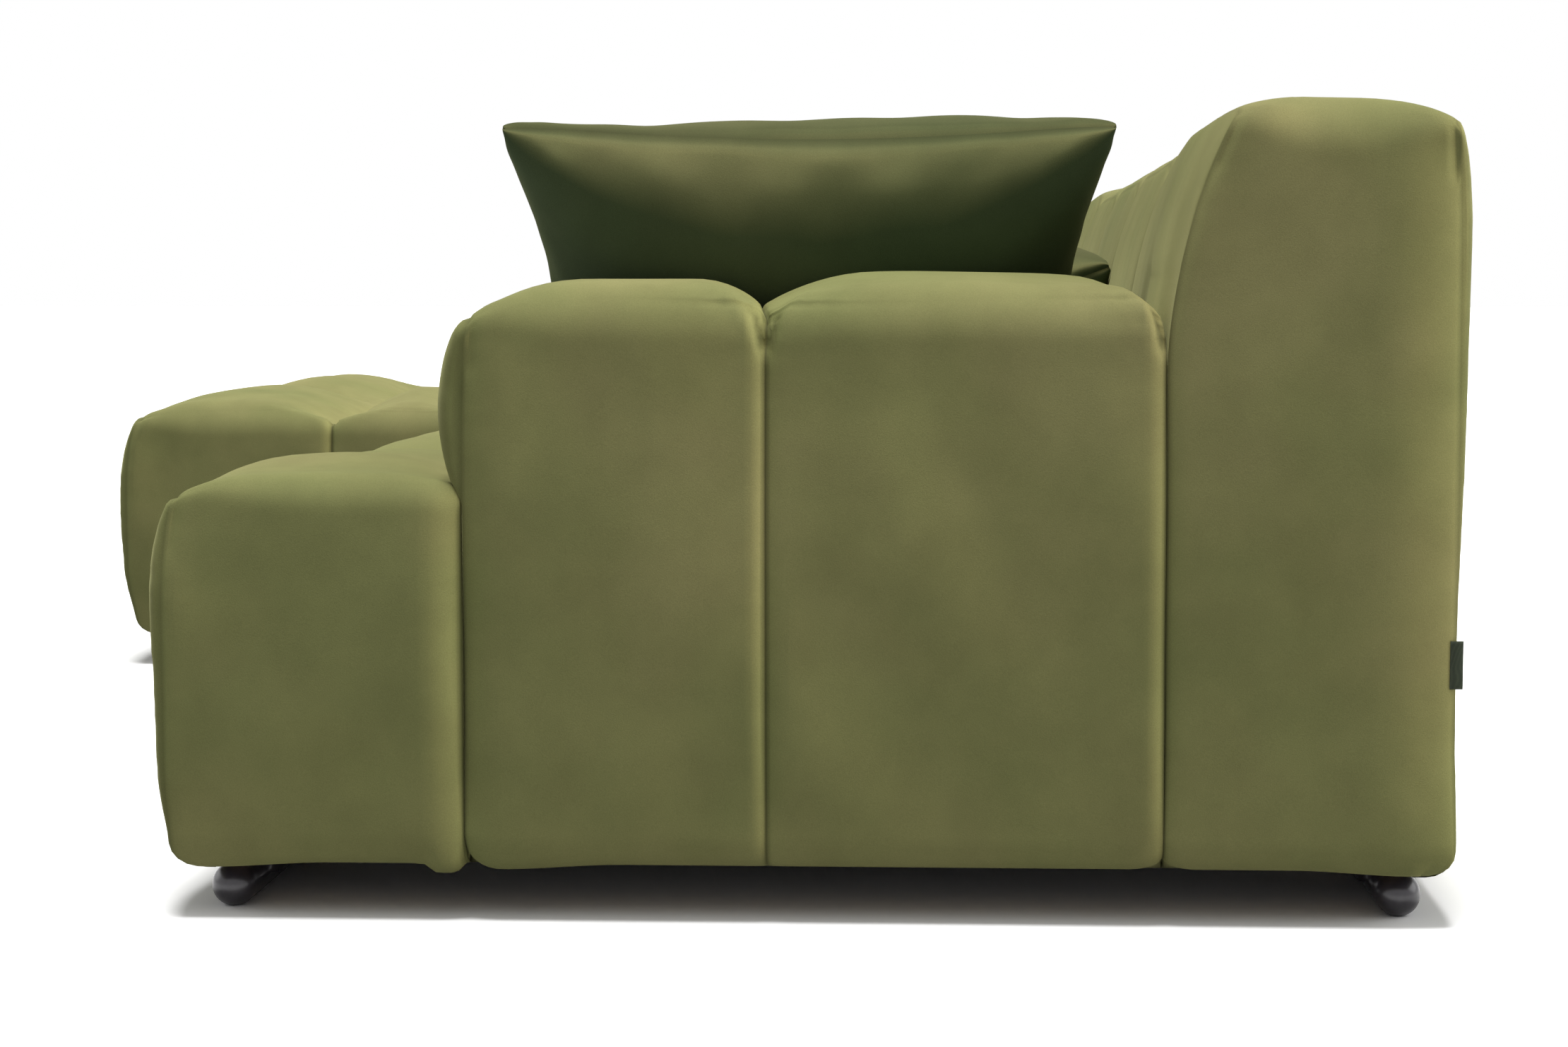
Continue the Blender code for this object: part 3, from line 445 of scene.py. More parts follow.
def draw_edges(block, path):
    """Y of the strip: the top corner of a sewn edge is drawn in, and the edge bows out below it."""
    y = path.y + 0 * path.z
    below = 1 - quarter((path.crest - path.z) / PINCH_REACH) * ~path.on_top
    low = smooth(UNDERSIDE, UNDERSIDE + BOW_REACH, path.z)
    pull = PINCH_PULL * below * np.where(path.on_top, 1 - smooth(0.0, PINCH_REACH, path.inward), 1.0)
    for line, (sign, _) in sewn_edges(block).items():
        near = (1 - smooth(0.0, BOW_REACH, np.abs(y - line))) * path.rolled
        y = y + sign * near * (block.soft.bow * (1 - below) * low - pull)
    if block.node == "arm_cover":
        near = np.clip(1 - np.abs(y - ROW_TWO) / 0.25, 0, 1) ** 2
        y = y - ARM_SKEW * near * (path.end - path.x) / (path.end - path.start)
    return y


def strip_points(block, px, levels, y, seed):
    """Points of the strip, and how dark each is drawn: a line along each seam, and painted shade in the
    creases.
    """
    top, path = block.top, lay_path(block, px, levels, y)
    on_top, rows, columns = path.on_top, path.rows, path.columns
    x, z, normal_x, normal_z = roll_over(block, path)
    drop_y, lips, creases, folds = cross_seams(block, path, seed)
    drop_x, crown, folds = long_seams(block, path, folds, seed)
    drop = (drop_y ** MIX + drop_x ** MIX) ** (1 / MIX)
    drop = drop * (LOW_SHARE + (1 - LOW_SHARE) * path.low)
    height = np.clip((path.z - UNDERSIDE) / (path.crest - UNDERSIDE), 0, 1)
    wall_swell = WALL_SWELL * (4 * height * (1 - height)) ** 1.5 * path.rolled
    bare = np.where(on_top, 1.0, path.rolled * path.low)
    full = np.where(on_top, crown * cell_dome(path.y, block.y_lines, block.soft.crown), wall_swell)
    uneven = BACK_UNEVEN if top == BACK_TOP else UNEVEN
    lift = full - drop - lips * bare + (folds + uneven * swell(x, path.y + 0 * x, z, seed)) * bare
    x, z = x + normal_x * lift, z + normal_z * lift
    if top == SEAT_TOP:
        z = np.where(on_top, keep_above(z, top - CORE_DEPTH, 0.004), z)
    # A wall below a valley ends where the valley does
    for start, corner, share in ((0, rows, path.left), (rows + columns, rows + columns - 1, path.right)):
        wall = slice(start, start + rows)
        scale = (z[corner] - UNDERSIDE) / (top - UNDERSIDE)
        scaled = UNDERSIDE + (path.level[wall] - UNDERSIDE) * scale[None, :]
        z[wall] = share * z[wall] + (1 - share) * scaled
    # The seam mark darkens the colour: a dark line along each seam, and painted shade in the creases where
    # two panels run together
    gap = np.minimum(nearest(path.y, block.y_lines),
                     np.where(on_top, nearest(path.x, block.x_lines[1:-1]), FAR))
    pale = np.where(nearest(path.y, list(sewn_edges(block))) < 0.01, PALE_SEAM, 1.0)
    seam = np.maximum(hump(gap, SEAM_WIDTH) * pale, 0.7 * creases)
    return np.stack([x, draw_edges(block, path), z], axis=-1), seam


def face_lift(block, x, z, below, px, sign, seed):
    """How far a sewn front or rear face stands out."""
    soft, rear = block.soft, sign > 0
    on_seat = not rear and block.top > SEAT_TOP
    foot = UNDERSIDE
    if block.node == "arm_cover":
        foot = SEAT_TOP - 0.015
    elif on_seat:
        foot = SEAT_TOP + 0.010 + (ARM_TOP - SEAT_TOP) * smooth(ARM_INNER - 0.06, ARM_INNER, x)
    from_seam = nearest(px, block.x_lines)[:, None]
    rise = quarter(below / FACE_REACH) * quarter((z - foot) / (FACE_REACH if on_seat else FRONT_FOOT_REACH))
    across = quarter(from_seam / soft.reach)
    if rear:
        rise = rise * (0.1 + 0.9 * smooth(0.15, 0.62, z))
    bulge = soft.rear_bulge if rear else soft.front_bulge
    lift = bulge * rise * across + rear * REAR_FLARE * (1 - smooth(0.08, 0.25, z)) * across
    bare = smooth(0.0, FACE_CLEAR, z - foot) * quarter(from_seam / FACE_CLEAR)
    rim = quarter(below / RIM_CLEAR)
    uneven, pucker, pleat = REAR_FOLDS if rear else TIGHT_FOLDS if on_seat else LOOSE_FOLDS
    lift = lift + uneven * swell(x, 0 * x, z, seed + 3) * bare * rim
    waves = ripple(x, seed + 23, (0.052, 0.083, 0.13, 0.20))
    lift = lift + pleat * waves * np.exp(-below / 0.16) * quarter(below / 0.05) * bare
    for number, line in enumerate(block.x_lines):
        away = np.abs(px - line)[:, None]
        lift = lift + pucker * ripple(z, seed + 31 + number) * np.exp(-away / FACE_CLEAR) * bare * rim
    return lift


def face_points(block, edge_left, edge_top, edge_right, px, levels, sign, seed):
    """Front or rear face, stretched between the edges of the strip and swollen outwards."""
    s = ((px - px[0]) / (px[-1] - px[0]))[:, None, None]
    t = ((np.append(levels, block.top) - UNDERSIDE) / (block.top - UNDERSIDE))[None, :, None]
    bottom = edge_left[0] + (edge_right[0] - edge_left[0]) * s
    points = ((1 - s) * edge_left[None] + s * edge_right[None] + (1 - t) * bottom + t * edge_top[:, None]
              - (1 - s) * (1 - t) * edge_left[0] - s * (1 - t) * edge_right[0]
              - (1 - s) * t * edge_left[-1] - s * t * edge_right[-1])
    if block.sides["-y" if sign < 0 else "+y"] != "seam":
        return points, np.zeros(points.shape[:2])
    x, z = points[:, :, 0], points[:, :, 2]
    below = np.maximum(edge_top[:, None, 2] - z, 0.0)
    points[:, :, 1] += sign * face_lift(block, x, z, below, px, sign, seed)
    gap = np.minimum(nearest(px, block.x_lines)[:, None], below)
    return points, hump(gap, SEAM_WIDTH) * PALE_SEAM


def foot_sides(block, points):
    """For each point, the outward signs of the seen sides at the floor that it lies on."""
    signs = np.zeros((len(points), 2))
    for side, (low, high) in block.feet.items():
        axis = "xy".index(side[1])
        sign = 1 if side[0] == "+" else -1
        lines = (block.x_lines, block.y_lines)[axis]
        on_side = np.abs(points[:, axis] - lines[-1 if sign > 0 else 0]) < NEAR_SIDE
        along = points[:, 1 - axis]
        signs[on_side & (along >= low - NEAR_SIDE) & (along <= high + 0.001), axis] = sign
    return signs


def shape_foot(block, points, level, signs):
    """Turn the lower edge of the seen walls in, and lift the hidden ones off the dust cover."""
    low = UNDERSIDE + HEM_RADIUS
    angle = np.clip((low - level) / HEM_RADIUS, 0.0, 1.0) * np.pi / 2
    bend = level < low
    points[bend, 2] = low - HEM_RADIUS * np.sin(angle[bend])
    points[:, :2] -= signs * (HEM_RADIUS * (1 - np.cos(angle)))[:, None]
    from_front, from_rear = (np.abs(points[:, 1] - block.y_lines[end]) for end in (0, -1))
    reach, roundness = LOW_CORNER_DIP
    rise = (ARM_LOW_CORNER if block.node == "arm_cover" else LOW_CORNER) * dip(from_front / reach, roundness)
    rise = rise + BOTTOM_RISE * smooth(0.03, 0.14, from_rear if block.top == BACK_TOP else from_front)
    if block.node == "settee_front_cover":
        rise = rise - TONGUE * (1 - smooth(0.026, 0.042, from_rear)) * smooth(0.0, SEAM_CLEAR, from_rear)
    else:
        rise = rise + LOW_CORNER * dip(from_rear / reach, roundness)
    low_part = 1 - smooth(UNDERSIDE, UNDERSIDE + 0.06, level)
    points[:, 2] += rise * low_part * (signs[:, 0] != 0) * (signs[:, 1] == 0)
    hidden = (signs == 0).all(axis=1) & bend
    points[hidden, 2] = np.maximum(points[hidden, 2], UNDERSIDE + BOTTOM_LIFT)


def underside(block, edge, signs):
    """Two rings of points: a flange under the seen walls, then up to a flat bottom."""
    ring = edge.copy()
    seen = (signs != 0).any(axis=1)
    ring[seen, 2] = np.minimum(ring[seen, 2], UNDERSIDE + FLANGE_LIFT)
    for axis, lines in enumerate((block.x_lines, block.y_lines)):
        held = signs[:, axis]
        ring[:, axis] = np.where(held > 0, lines[-1] - PAD, np.where(held < 0, lines[0] + PAD, ring[:, axis]))
    bottom = ring.copy()
    bottom[:, 2] = UNDERSIDE + BOTTOM_LIFT
    return ring, bottom


def lean_back(points):
    share = np.maximum((points[:, 2] - LEAN_START) / (BACK_TOP - LEAN_START), 0.0)
    front = np.clip((REAR - points[:, 1]) / (REAR - BACK_FRONT), 0.0, 1.0)
    points[:, 1] += BACK_LEAN * share ** LEAN_POWER * front


def grid_faces(index):
    """Quads between neighbouring entries of a grid of vertex numbers."""
    return np.stack([index[:-1, :-1], index[1:, :-1], index[1:, 1:], index[:-1, 1:]], axis=-1).reshape(-1, 4)


def cover_mesh(block, seed):
    px, py = cell_steps(block.x_lines), cell_steps(block.y_lines)
    levels = wall_levels(block)
    rows, columns, depth = len(levels), len(px), len(py)
    strip, strip_seam_and_shade = strip_points(block, px, levels, py, seed)
    path = len(strip)
    strip_level = np.concatenate([levels, np.full(columns, block.top), levels[::-1]])
    vertices, seams, heights = [strip.reshape(-1, 3)], [strip_seam_and_shade.ravel()], [np.repeat(strip_level, depth)]
    strip_index = np.arange(path * depth).reshape(path, depth)
    faces, loops, count = [grid_faces(strip_index)], [], path * depth
    for sign, column in ((-1, 0), (1, depth - 1)):
        edge = strip[:, column]
        edge_left, edge_right = edge[:rows + 1], edge[path - rows - 1:][::-1]
        points, seam = face_points(block, edge_left, edge[rows:rows + columns], edge_right, px, levels, sign,
                                   seed + 100 + sign)
        index = np.full((columns, rows + 1), -1)
        index[0, :rows] = strip_index[:rows, column]
        index[:, rows] = strip_index[rows:rows + columns, column]
        index[-1, :rows] = strip_index[path - rows:, column][::-1]
        inner = (columns - 2) * rows
        index[1:-1, :rows] = np.arange(count, count + inner).reshape(columns - 2, rows)
        vertices.append(points[1:-1, :rows].reshape(-1, 3))
        seams.append(seam[1:-1, :rows].ravel())
        heights.append(np.tile(levels, columns - 2))
        faces.append(grid_faces(index))
        loops.append(index[:, 0])
        count += inner
    vertices, heights = np.concatenate(vertices), np.concatenate(heights)
    signs = foot_sides(block, vertices)
    shape_foot(block, vertices, heights, signs)
    loop = np.concatenate([loops[0], strip_index[-1, 1:-1], loops[1][::-1], strip_index[0, 1:-1][::-1]])
    size = len(loop)
    vertices = np.concatenate([vertices, *underside(block, vertices[loop], signs[loop])])
    # The ring under the seen walls gets the full seam mark: painted shade on the flange under the covers
    seams = np.concatenate(seams + [np.ones(size), np.zeros(size)])
    ring_index = np.arange(count, count + size)
    bottom_index = ring_index + size
    for first, second in ((loop, ring_index), (ring_index, bottom_index)):
        faces.append(np.stack([first, np.roll(first, -1), np.roll(second, -1), second], axis=-1))
    if block.top == BACK_TOP:
        lean_back(vertices)
    polygons = [tuple(face) for group in faces for face in group.tolist()]
    return vertices, seams, polygons + [tuple(bottom_index.tolist())]


def new_object(name, vertices, polygons, seams=None):
    mesh = bpy.data.meshes.new(name)
    mesh.from_pydata([tuple(map(float, vertex)) for vertex in vertices], [], polygons)
    if seams is not None:
        mark = mesh.attributes.new("seam", 'FLOAT', 'POINT')
        mark.data.foreach_set("value", np.asarray(seams, dtype=np.float32))
    bm = bmesh.new()
    bm.from_mesh(mesh)
    bmesh.ops.remove_doubles(bm, verts=bm.verts, dist=WELD)
    bmesh.ops.dissolve_degenerate(bm, edges=bm.edges, dist=WELD)
    bmesh.ops.recalc_face_normals(bm, faces=bm.faces[:])
    bm.to_mesh(mesh)
    bm.free()
    mesh.shade_smooth()
    obj = bpy.data.objects.new(name, mesh)
    bpy.context.scene.collection.objects.link(obj)
    return obj


# Materials. The id_data of a socket is the node tree that it belongs to

def add_node(tree, kind, values=None, **links):
    """A node with values set and sockets linked, where an underscore stands for a space."""
    node = tree.nodes.new("ShaderNode" + kind)
    for name, value in (values or {}).items():
        if name in node.inputs:
            node.inputs[name].default_value = value
        else:
            setattr(node, name, value)
    for name, source in links.items():
        tree.links.new(source, node.inputs[name.replace("_", " ")])
    return node


def link(source, target):
    source.id_data.links.new(source, target)


def new_material(name, values):
    material = bpy.data.materials.new(name)
    material.use_nodes = True
    material.node_tree.nodes.clear()
    shader = add_node(material.node_tree, "BsdfPrincipled", values)
    add_node(material.node_tree, "OutputMaterial", Surface=shader.outputs["BSDF"])
    return material, shader.inputs


def noise(vector, scale, detail=3.0, roughness=0.55):
    values = {"Scale": scale, "Detail": detail, "Roughness": roughness}
    return add_node(vector.id_data, "TexNoise", values, Vector=vector).outputs["Fac"]


def ramp(fac, stops):
    node = add_node(fac.id_data, "ValToRGB", Fac=fac)
    elements = node.color_ramp.elements
    while len(elements) < len(stops):
        elements.new(0.5)
    for element, (position, colour) in zip(elements, stops):
        element.position = position
        element.color = (*colour, 1.0)
    return node.outputs["Color"]


def grey(value):
    return (value, value, value)


def multiply(first, second):
    node = add_node(first.id_data, "Mix", {"data_type": 'RGBA', "blend_type": 'MULTIPLY', "Factor": 1.0})
    link(first, node.inputs[6])
    link(second, node.inputs[7])
    return node.outputs[2]


def combine(operation, first, second):
    node = add_node(first.id_data, "Math", {"operation": operation})
    link(first, node.inputs[0])
    link(second, node.inputs[1])
    return node.outputs["Value"]


def map_range(value, limits):
    return add_node(value.id_data, "MapRange", limits, Value=value).outputs["Result"]


def bump(surface, height, strength, distance):
    node = add_node(height.id_data, "Bump", {"Strength": strength, "Distance": distance}, Height=height)
    link(node.outputs["Normal"], surface["Normal"])


def object_coordinates(material, scale=(1, 1, 1)):
    place = add_node(material.node_tree, "TexCoord").outputs["Object"]
    return add_node(material.node_tree, "Mapping", {"Scale": scale}, Vector=place).outputs["Vector"]


def make_velvet(name, tones, axis, painted_facing_light):
    """Velvet whose colour is painted lighter or darker as the cloth turns along one axis: painted light and
    shade by the way each part faces.
    """
    material, surface = new_material(name, {
        "Roughness": 0.86, "Specular IOR Level": 0.05, "Sheen Weight": 0.28, "Sheen Roughness": 0.34,
        "Sheen Tint": (0.68, 0.67, 0.32, 1.0)})
    place = object_coordinates(material)
    pile = noise(place, 900.0, 2.0, 0.6)
    seam = add_node(material.node_tree, "Attribute", {"attribute_name": "seam"}).outputs["Fac"]
    normal = add_node(material.node_tree, "NewGeometry").outputs["Normal"]
    turns = add_node(material.node_tree, "SeparateXYZ", Vector=normal).outputs
    turned = turns[axis]
    if axis == "Y":
        # On upright cloth alone
        level = add_node(material.node_tree, "Math", {"operation": 'ABSOLUTE'}, Value=turns["Z"])
        upright = map_range(level.outputs["Value"], {"To Min": 1.0, "To Max": 0.0})
        turned = combine('MULTIPLY', turned, upright)
    turned = map_range(turned, {"From Min": -1.0, "From Max": 1.0})
    colour = ramp(noise(place, 4.0, 3.0, 0.5), list(zip((0.32, 0.50, 0.68), tones)))
    for fac, stops in (
            (noise(place, 15.0), [(0.32, grey(0.93)), (0.68, grey(1.06))]),
            (pile, [(0.25, grey(0.90)), (0.75, grey(1.09))]),
            # Darker along the seams, with painted shade in the creases and on the flange under the covers
            (seam, [(0.0, grey(1.0)), (1.0, grey(0.40))]),
            # Painted light and shade: lighter or darker by the way the cloth faces
            (turned, [((turn + 1) / 2, tint) for turn, tint in painted_facing_light])):
        colour = multiply(colour, ramp(fac, stops))
    link(colour, surface["Base Color"])
    bump(surface, pile, 0.25, 0.0008)
    return material


def make_lacquer():
    material, surface = new_material("foot_lacquer", {"Coat Weight": 0.3, "Coat Roughness": 0.18})
    place = object_coordinates(material)
    shade = ramp(noise(place, 60.0), [
        (0.35, (0.031, 0.027, 0.034)), (0.65, (0.049, 0.043, 0.053))])
    link(shade, surface["Base Color"])
    rough = map_range(noise(place, 140.0), {"To Min": 0.24, "To Max": 0.40})
    link(rough, surface["Roughness"])
    bump(surface, noise(place, 500.0), 0.10, 0.0003)
    return material


def make_timber():
    material, surface = new_material("timber", {"Roughness": 0.62})
    along = object_coordinates(material, (2.0, 14.0, 14.0))
    grain = noise(along, 3.0, 6.0, 0.65)
    shade = ramp(grain, [
        (0.30, (0.42, 0.27, 0.14)), (0.55, (0.56, 0.39, 0.22)), (0.75, (0.62, 0.46, 0.28))])
    link(shade, surface["Base Color"])
    bump(surface, grain, 0.2, 0.001)
    return material


def make_foam():
    material, surface = new_material("foam", {"Roughness": 0.92})
    place = object_coordinates(material)
    cells = add_node(material.node_tree, "TexVoronoi", {"Scale": 320.0}, Vector=place).outputs["Distance"]
    shade = ramp(cells, [(0.1, (0.56, 0.50, 0.34)), (0.6, (0.74, 0.68, 0.50))])
    link(shade, surface["Base Color"])
    bump(surface, cells, 0.4, 0.0015)
    return material


def make_woven(name, dark, pale, scale):
    """A plain weave: two sets of threads at right angles."""
    material, surface = new_material(name, {"Roughness": 0.90})
    place = object_coordinates(material)
    threads = []
    for way in ('X', 'Y'):
        values = {"bands_direction": way, "Scale": scale, "Distortion": 0.6, "Detail": 1.0}
        threads.append(add_node(material.node_tree, "TexWave", values, Vector=place).outputs["Fac"])
    weave = combine('MAXIMUM', *threads)
    link(ramp(weave, [(0.2, dark), (0.9, pale)]), surface["Base Color"])
    bump(surface, weave, 0.35, 0.0006)
    return material


def make_steel():
    material, surface = new_material("steel", {"Metallic": 1.0})
    scratch = noise(object_coordinates(material, (1, 20, 1)), 80.0, 4.0)
    shade = ramp(scratch, [(0.3, grey(0.46)), (0.7, grey(0.60))])
    link(shade, surface["Base Color"])
    rough = map_range(scratch, {"To Min": 0.28, "To Max": 0.46})
    link(rough, surface["Roughness"])
    return material


MATERIALS = {
    "velvet": make_velvet(
        "velvet", [(0.209, 0.218, 0.085), (0.235, 0.233, 0.094), (0.269, 0.254, 0.109)], "Y",
        # Painted shade on cloth that faces -Y, painted light on cloth that turns towards +Y
        [(-1.0, grey(0.54)), (-0.35, (0.92, 0.95, 0.92)), (0.0, grey(1.0)), (0.18, (1.42, 1.36, 1.32)),
         (0.45, (1.95, 1.86, 1.80)), (1.0, grey(1.30))]),
    "foam": make_foam(),
    "timber": make_timber(),
    "webbing": make_woven("webbing", grey(0.030), grey(0.085), 260.0),
    "dust_cloth": make_woven("dust_cloth", grey(0.012), grey(0.035), 420.0),
    "foot_lacquer": make_lacquer(),
    "steel": make_steel(),
    "tab_cloth": make_woven("tab_cloth", (0.018, 0.026, 0.013), (0.042, 0.054, 0.030), 620.0),
}


# Velvet with its nap brushed the other way, which looks darker, and with darker tones that also paint shade
# on the pillows; its ramp along Z paints shade where the cloth faces down, paints light on a band that faces
# a little up, and is darker again where it faces straight up
DARK_NAP_AND_PAINTED_SHADE = make_velvet(
    "velvet_dark_nap", [(0.121, 0.136, 0.057), (0.136, 0.146, 0.062), (0.154, 0.157, 0.069)], "Z",
    [(-1.0, (0.45, 0.60, 0.84)), (-0.55, (0.48, 0.63, 0.84)), (-0.20, (0.44, 0.56, 0.66)),
     (0.08, (0.86, 0.88, 0.90)), (0.35, (1.60, 1.48, 1.48)), (0.50, (1.45, 1.38, 1.38)),
     (0.62, grey(1.05)), (0.78, grey(0.76)), (1.0, grey(0.66))])


def dress(piece, node, body, slot, material=None):
    """A piece that stands for a CAD node, rides on a body and takes its finish from a slot."""
    piece.data.materials.clear()
    piece.data.materials.append(material or MATERIALS[slot])
    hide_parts(node)
    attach(piece, body)


# The six covers

def side_kinds(words):
    """How a cover ends at -X, +X, -Y and +Y: in a roll, a sewn seam or a valley beside its neighbour."""
    return dict(zip(("-x", "+x", "-y", "+y"), words.split()))


ALL = (-FAR, FAR)
SETTEE_X = [SPLIT + HALF_GAP, SPLIT + COLUMN, SPLIT + 2 * COLUMN, RIGHT]
CHAISE_X = [LEFT, LEFT + COLUMN, SPLIT - HALF_GAP]
BACK_Y = [BACK_FRONT + HALF_GAP, REAR]
SEAT_Y = [ROW_ONE + HALF_GAP, ROW_TWO, BACK_FRONT - HALF_GAP]
CHAISE_Y = [TIP, CHAISE_ROW, SETTEE_FRONT, ROW_ONE, ROW_TWO, BACK_FRONT - HALF_GAP]
BLOCKS = [
    Block("settee_front_cover", SETTEE_X, [SETTEE_FRONT, ROW_ONE - HALF_GAP], SEAT_TOP, SEAT_SOFT,
          side_kinds("valley roll seam valley"), {"+x": ALL, "-y": ALL}),
    Block("settee_seat_cover", SETTEE_X[:3] + [ARM_INNER - HALF_GAP], SEAT_Y, SEAT_TOP, INNER_SEAT_SOFT,
          side_kinds("valley valley valley valley"), {}),
    Block("arm_cover", [ARM_INNER + HALF_GAP, RIGHT], SEAT_Y, ARM_TOP, ARM_SOFT,
          side_kinds("roll roll seam valley"), {"+x": ALL}),
    Block("settee_back_cover", SETTEE_X, BACK_Y, BACK_TOP, BACK_SOFT,
          side_kinds("valley roll seam seam"), {"+x": ALL, "+y": ALL}),
    Block("chaise_seat_cover", CHAISE_X, CHAISE_Y, SEAT_TOP, CHAISE_SOFT,
          side_kinds("roll roll_front seam valley"), {"-x": ALL, "-y": ALL, "+x": (TIP, SETTEE_FRONT)}),
    Block("chaise_back_cover", CHAISE_X, BACK_Y, BACK_TOP, BACK_SOFT,
          side_kinds("roll valley seam seam"), {"-x": ALL, "+y": ALL}),
]

covers = {}
for number, block in enumerate(BLOCKS):
    vertices, seams, polygons = cover_mesh(block, 1000 * (number + 1))
    cover = new_object("velvet_" + block.node, vertices, polygons, seams)
    dress(cover, block.node, "sofa", "velvet")
    covers[block.node] = cover


# Pillows

def spread(share):
    """-1 to 1, closer together at both ends."""
    return 2 * (share - 0.75 * math.sin(2 * math.pi * share) / (2 * math.pi)) - 1


def pillow_grid(*counts):
    """Two sheets in the XZ plane that share their rim, with the numbers of their quads."""
    steps = ([spread(k / count) for k in range(count + 1)] for count in counts)
    u, v = np.meshgrid(*steps, indexing="ij")
    inner = np.maximum(np.abs(u), np.abs(v)) < 1 - 1e-6
    first = np.arange(u.size).reshape(u.shape)
    second = first.copy()
    second[inner] = u.size + np.arange(inner.sum())
    points = np.concatenate([np.stack([np.where(inner, -1, 0), u, v], axis=-1).reshape(-1, 3),
                             np.stack([inner[inner], u[inner], v[inner]], axis=-1)])
    return points, np.concatenate([grid_faces(first), grid_faces(second)[:, ::-1]]).tolist()


def plain_pillow(grid):
    side, u, v = grid.T
    width, thick, height = PILLOW_SIZE
    blunt = BLUNT * np.abs(u * v) ** 10
    wave = RIM_WAVE * ripple(height / 2 * v, 5, (0.034, 0.052, 0.083))
    x = width / 2 * u * (1 - WAIST * (1 - v * v) * u * u) - np.sign(u) * blunt
    z = height / 2 * v * (1 - WAIST * (1 - u * u) * v * v) - np.sign(v) * blunt
    x = x + wave * np.sign(u) * np.abs(u) ** 8 * (1 - v ** 8)
    y = side * thick / 2 * ((1 - u * u) * (1 - v * v)) ** FULLNESS
    return np.stack([x, y, z], axis=-1)


def lift_filling(points, grid):
    """Let the filling rise behind the upper seam, on the free side."""
    side, u, v = grid.T
    share = (side > 0) * smooth(0.1, 0.85, v) * quarter((1 - v) / 0.22)
    points[:, 2] += FILLING_RISE * share * (1 - np.abs(u) ** 3) * smooth(-1.0, 0.2, u)
    points[:, 0] -= SEAM_SINK * np.sign(u) * (np.abs(u) > 1 - 1e-6)
    points[:, 2] -= SEAM_SINK * np.sign(v) * (np.abs(v) > 1 - 1e-6)


def even_out(points, quads, share, times):
    """Draw each point towards the mean of its neighbours."""
    corners = np.array(quads)
    first = corners.ravel()
    second = np.roll(corners, -1, axis=1).ravel()
    for _ in range(times):
        total, count = np.zeros_like(points), np.zeros(len(points))
        for one, other in ((first, second), (second, first)):
            np.add.at(total, one, points[other])
            np.add.at(count, one, 1)
        points = points + (total / count[:, None] - points) * share[:, None]
    return points


def simulated_pillow(name, grid, quads, seed):
    """Blow up a pillow as cloth: its rim stays, and its two faces have cloth to spare."""
    points = plain_pillow(grid)
    points[:, 1] *= FLAT_SHARE
    wrinkles = swell(points[:, 0], 0 * points[:, 0], points[:, 2], seed, length=0.10)
    points[:, 1] += WRINKLE * wrinkles * np.abs(grid[:, 0])
    rough = new_object(name + "_envelope", points, quads)
    on_rim = np.maximum(np.abs(grid[:, 1]), np.abs(grid[:, 2])) > 1 - 1e-6
    rim = rough.vertex_groups.new(name="rim")
    rim.add(np.nonzero(on_rim)[0].tolist(), 1.0, 'REPLACE')
    cloth = rough.modifiers.new("cloth", 'CLOTH')
    for setting, value in CLOTH.items():
        setattr(cloth.settings, setting, value)
    cloth.settings.effector_weights.gravity = 0.0
    cloth.collision_settings.use_collision = False
    cloth.point_cache.frame_start, cloth.point_cache.frame_end = 1, CLOTH_FRAMES
    scene = bpy.context.scene
    for step in range(1, CLOTH_FRAMES + 1):
        scene.frame_set(step)
    shown = rough.evaluated_get(bpy.context.evaluated_depsgraph_get())
    points = np.array([vertex.co[:] for vertex in shown.data.vertices])
    scene.frame_set(1)
    bpy.data.objects.remove(rough, do_unlink=True)
    points = even_out(points, quads, np.where(on_rim, 0.0, 0.5), 4)
    points[:, 1] *= PILLOW_SIZE[1] / (points[:, 1].max() - points[:, 1].min())
    return points


def surface_tree(obj):
    return BVHTree.FromPolygons([vertex.co for vertex in obj.data.vertices],
                                [tuple(face.vertices) for face in obj.data.polygons])


def push_out(points, obstacle):
    """Move points that lie inside an obstacle, or too close to it, out to the margin."""
    tree = surface_tree(obstacle)
    for index, point in enumerate(points):
        place, normal, _, _ = tree.find_nearest(Vector(point), 0.08)
        if place is not None and (Vector(point) - place).dot(normal) < PILLOW_MARGIN:
            points[index] = place + normal * PILLOW_MARGIN


def add_pillow(node, rotation, obstacles, seed, lean=0.0):
    grid, quads = pillow_grid(52, 36)
    _, u, v = grid.T
    points = simulated_pillow(node, grid, quads, seed)
    lift_filling(points, grid)
    points[:, 0] += lean * smooth(0.2, 1.0, u) * (1.5 * v - 1)
    points[:, 0] -= 0.5 * lean * smooth(0.2, 1.0, -u) * smooth(0.2, 1.0, v)
    low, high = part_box(node)
    matrix = Matrix.Translation((Vector(low) + Vector(high)) / 2) @ rotation
    points = np.array([matrix @ Vector(point) for point in points])
    for obstacle in obstacles:
        push_out(points, covers[obstacle])
    from_rim = np.minimum(1 - np.abs(u), 1 - np.abs(v))
    pillow = new_object("velvet_" + node, points, quads, hump(from_rim, PILLOW_SEAM_WIDTH) * PILLOW_SEAM)
    marks = pillow.data.attributes["seam"].data
    on_seam = [min(marks[index].value for index in edge.vertices) > PILLOW_SEAM - 0.01
               for edge in pillow.data.edges]
    crease = pillow.data.attributes.new("crease_edge", 'FLOAT', 'EDGE')
    for edge, mark, sharp in zip(pillow.data.edges, crease.data, on_seam):
        edge.use_edge_sharp = sharp
        mark.value = float(sharp)
    pillow.modifiers.new("smooth", 'SUBSURF').render_levels = 1
    dress(pillow, node, node, "velvet", DARK_NAP_AND_PAINTED_SHADE)


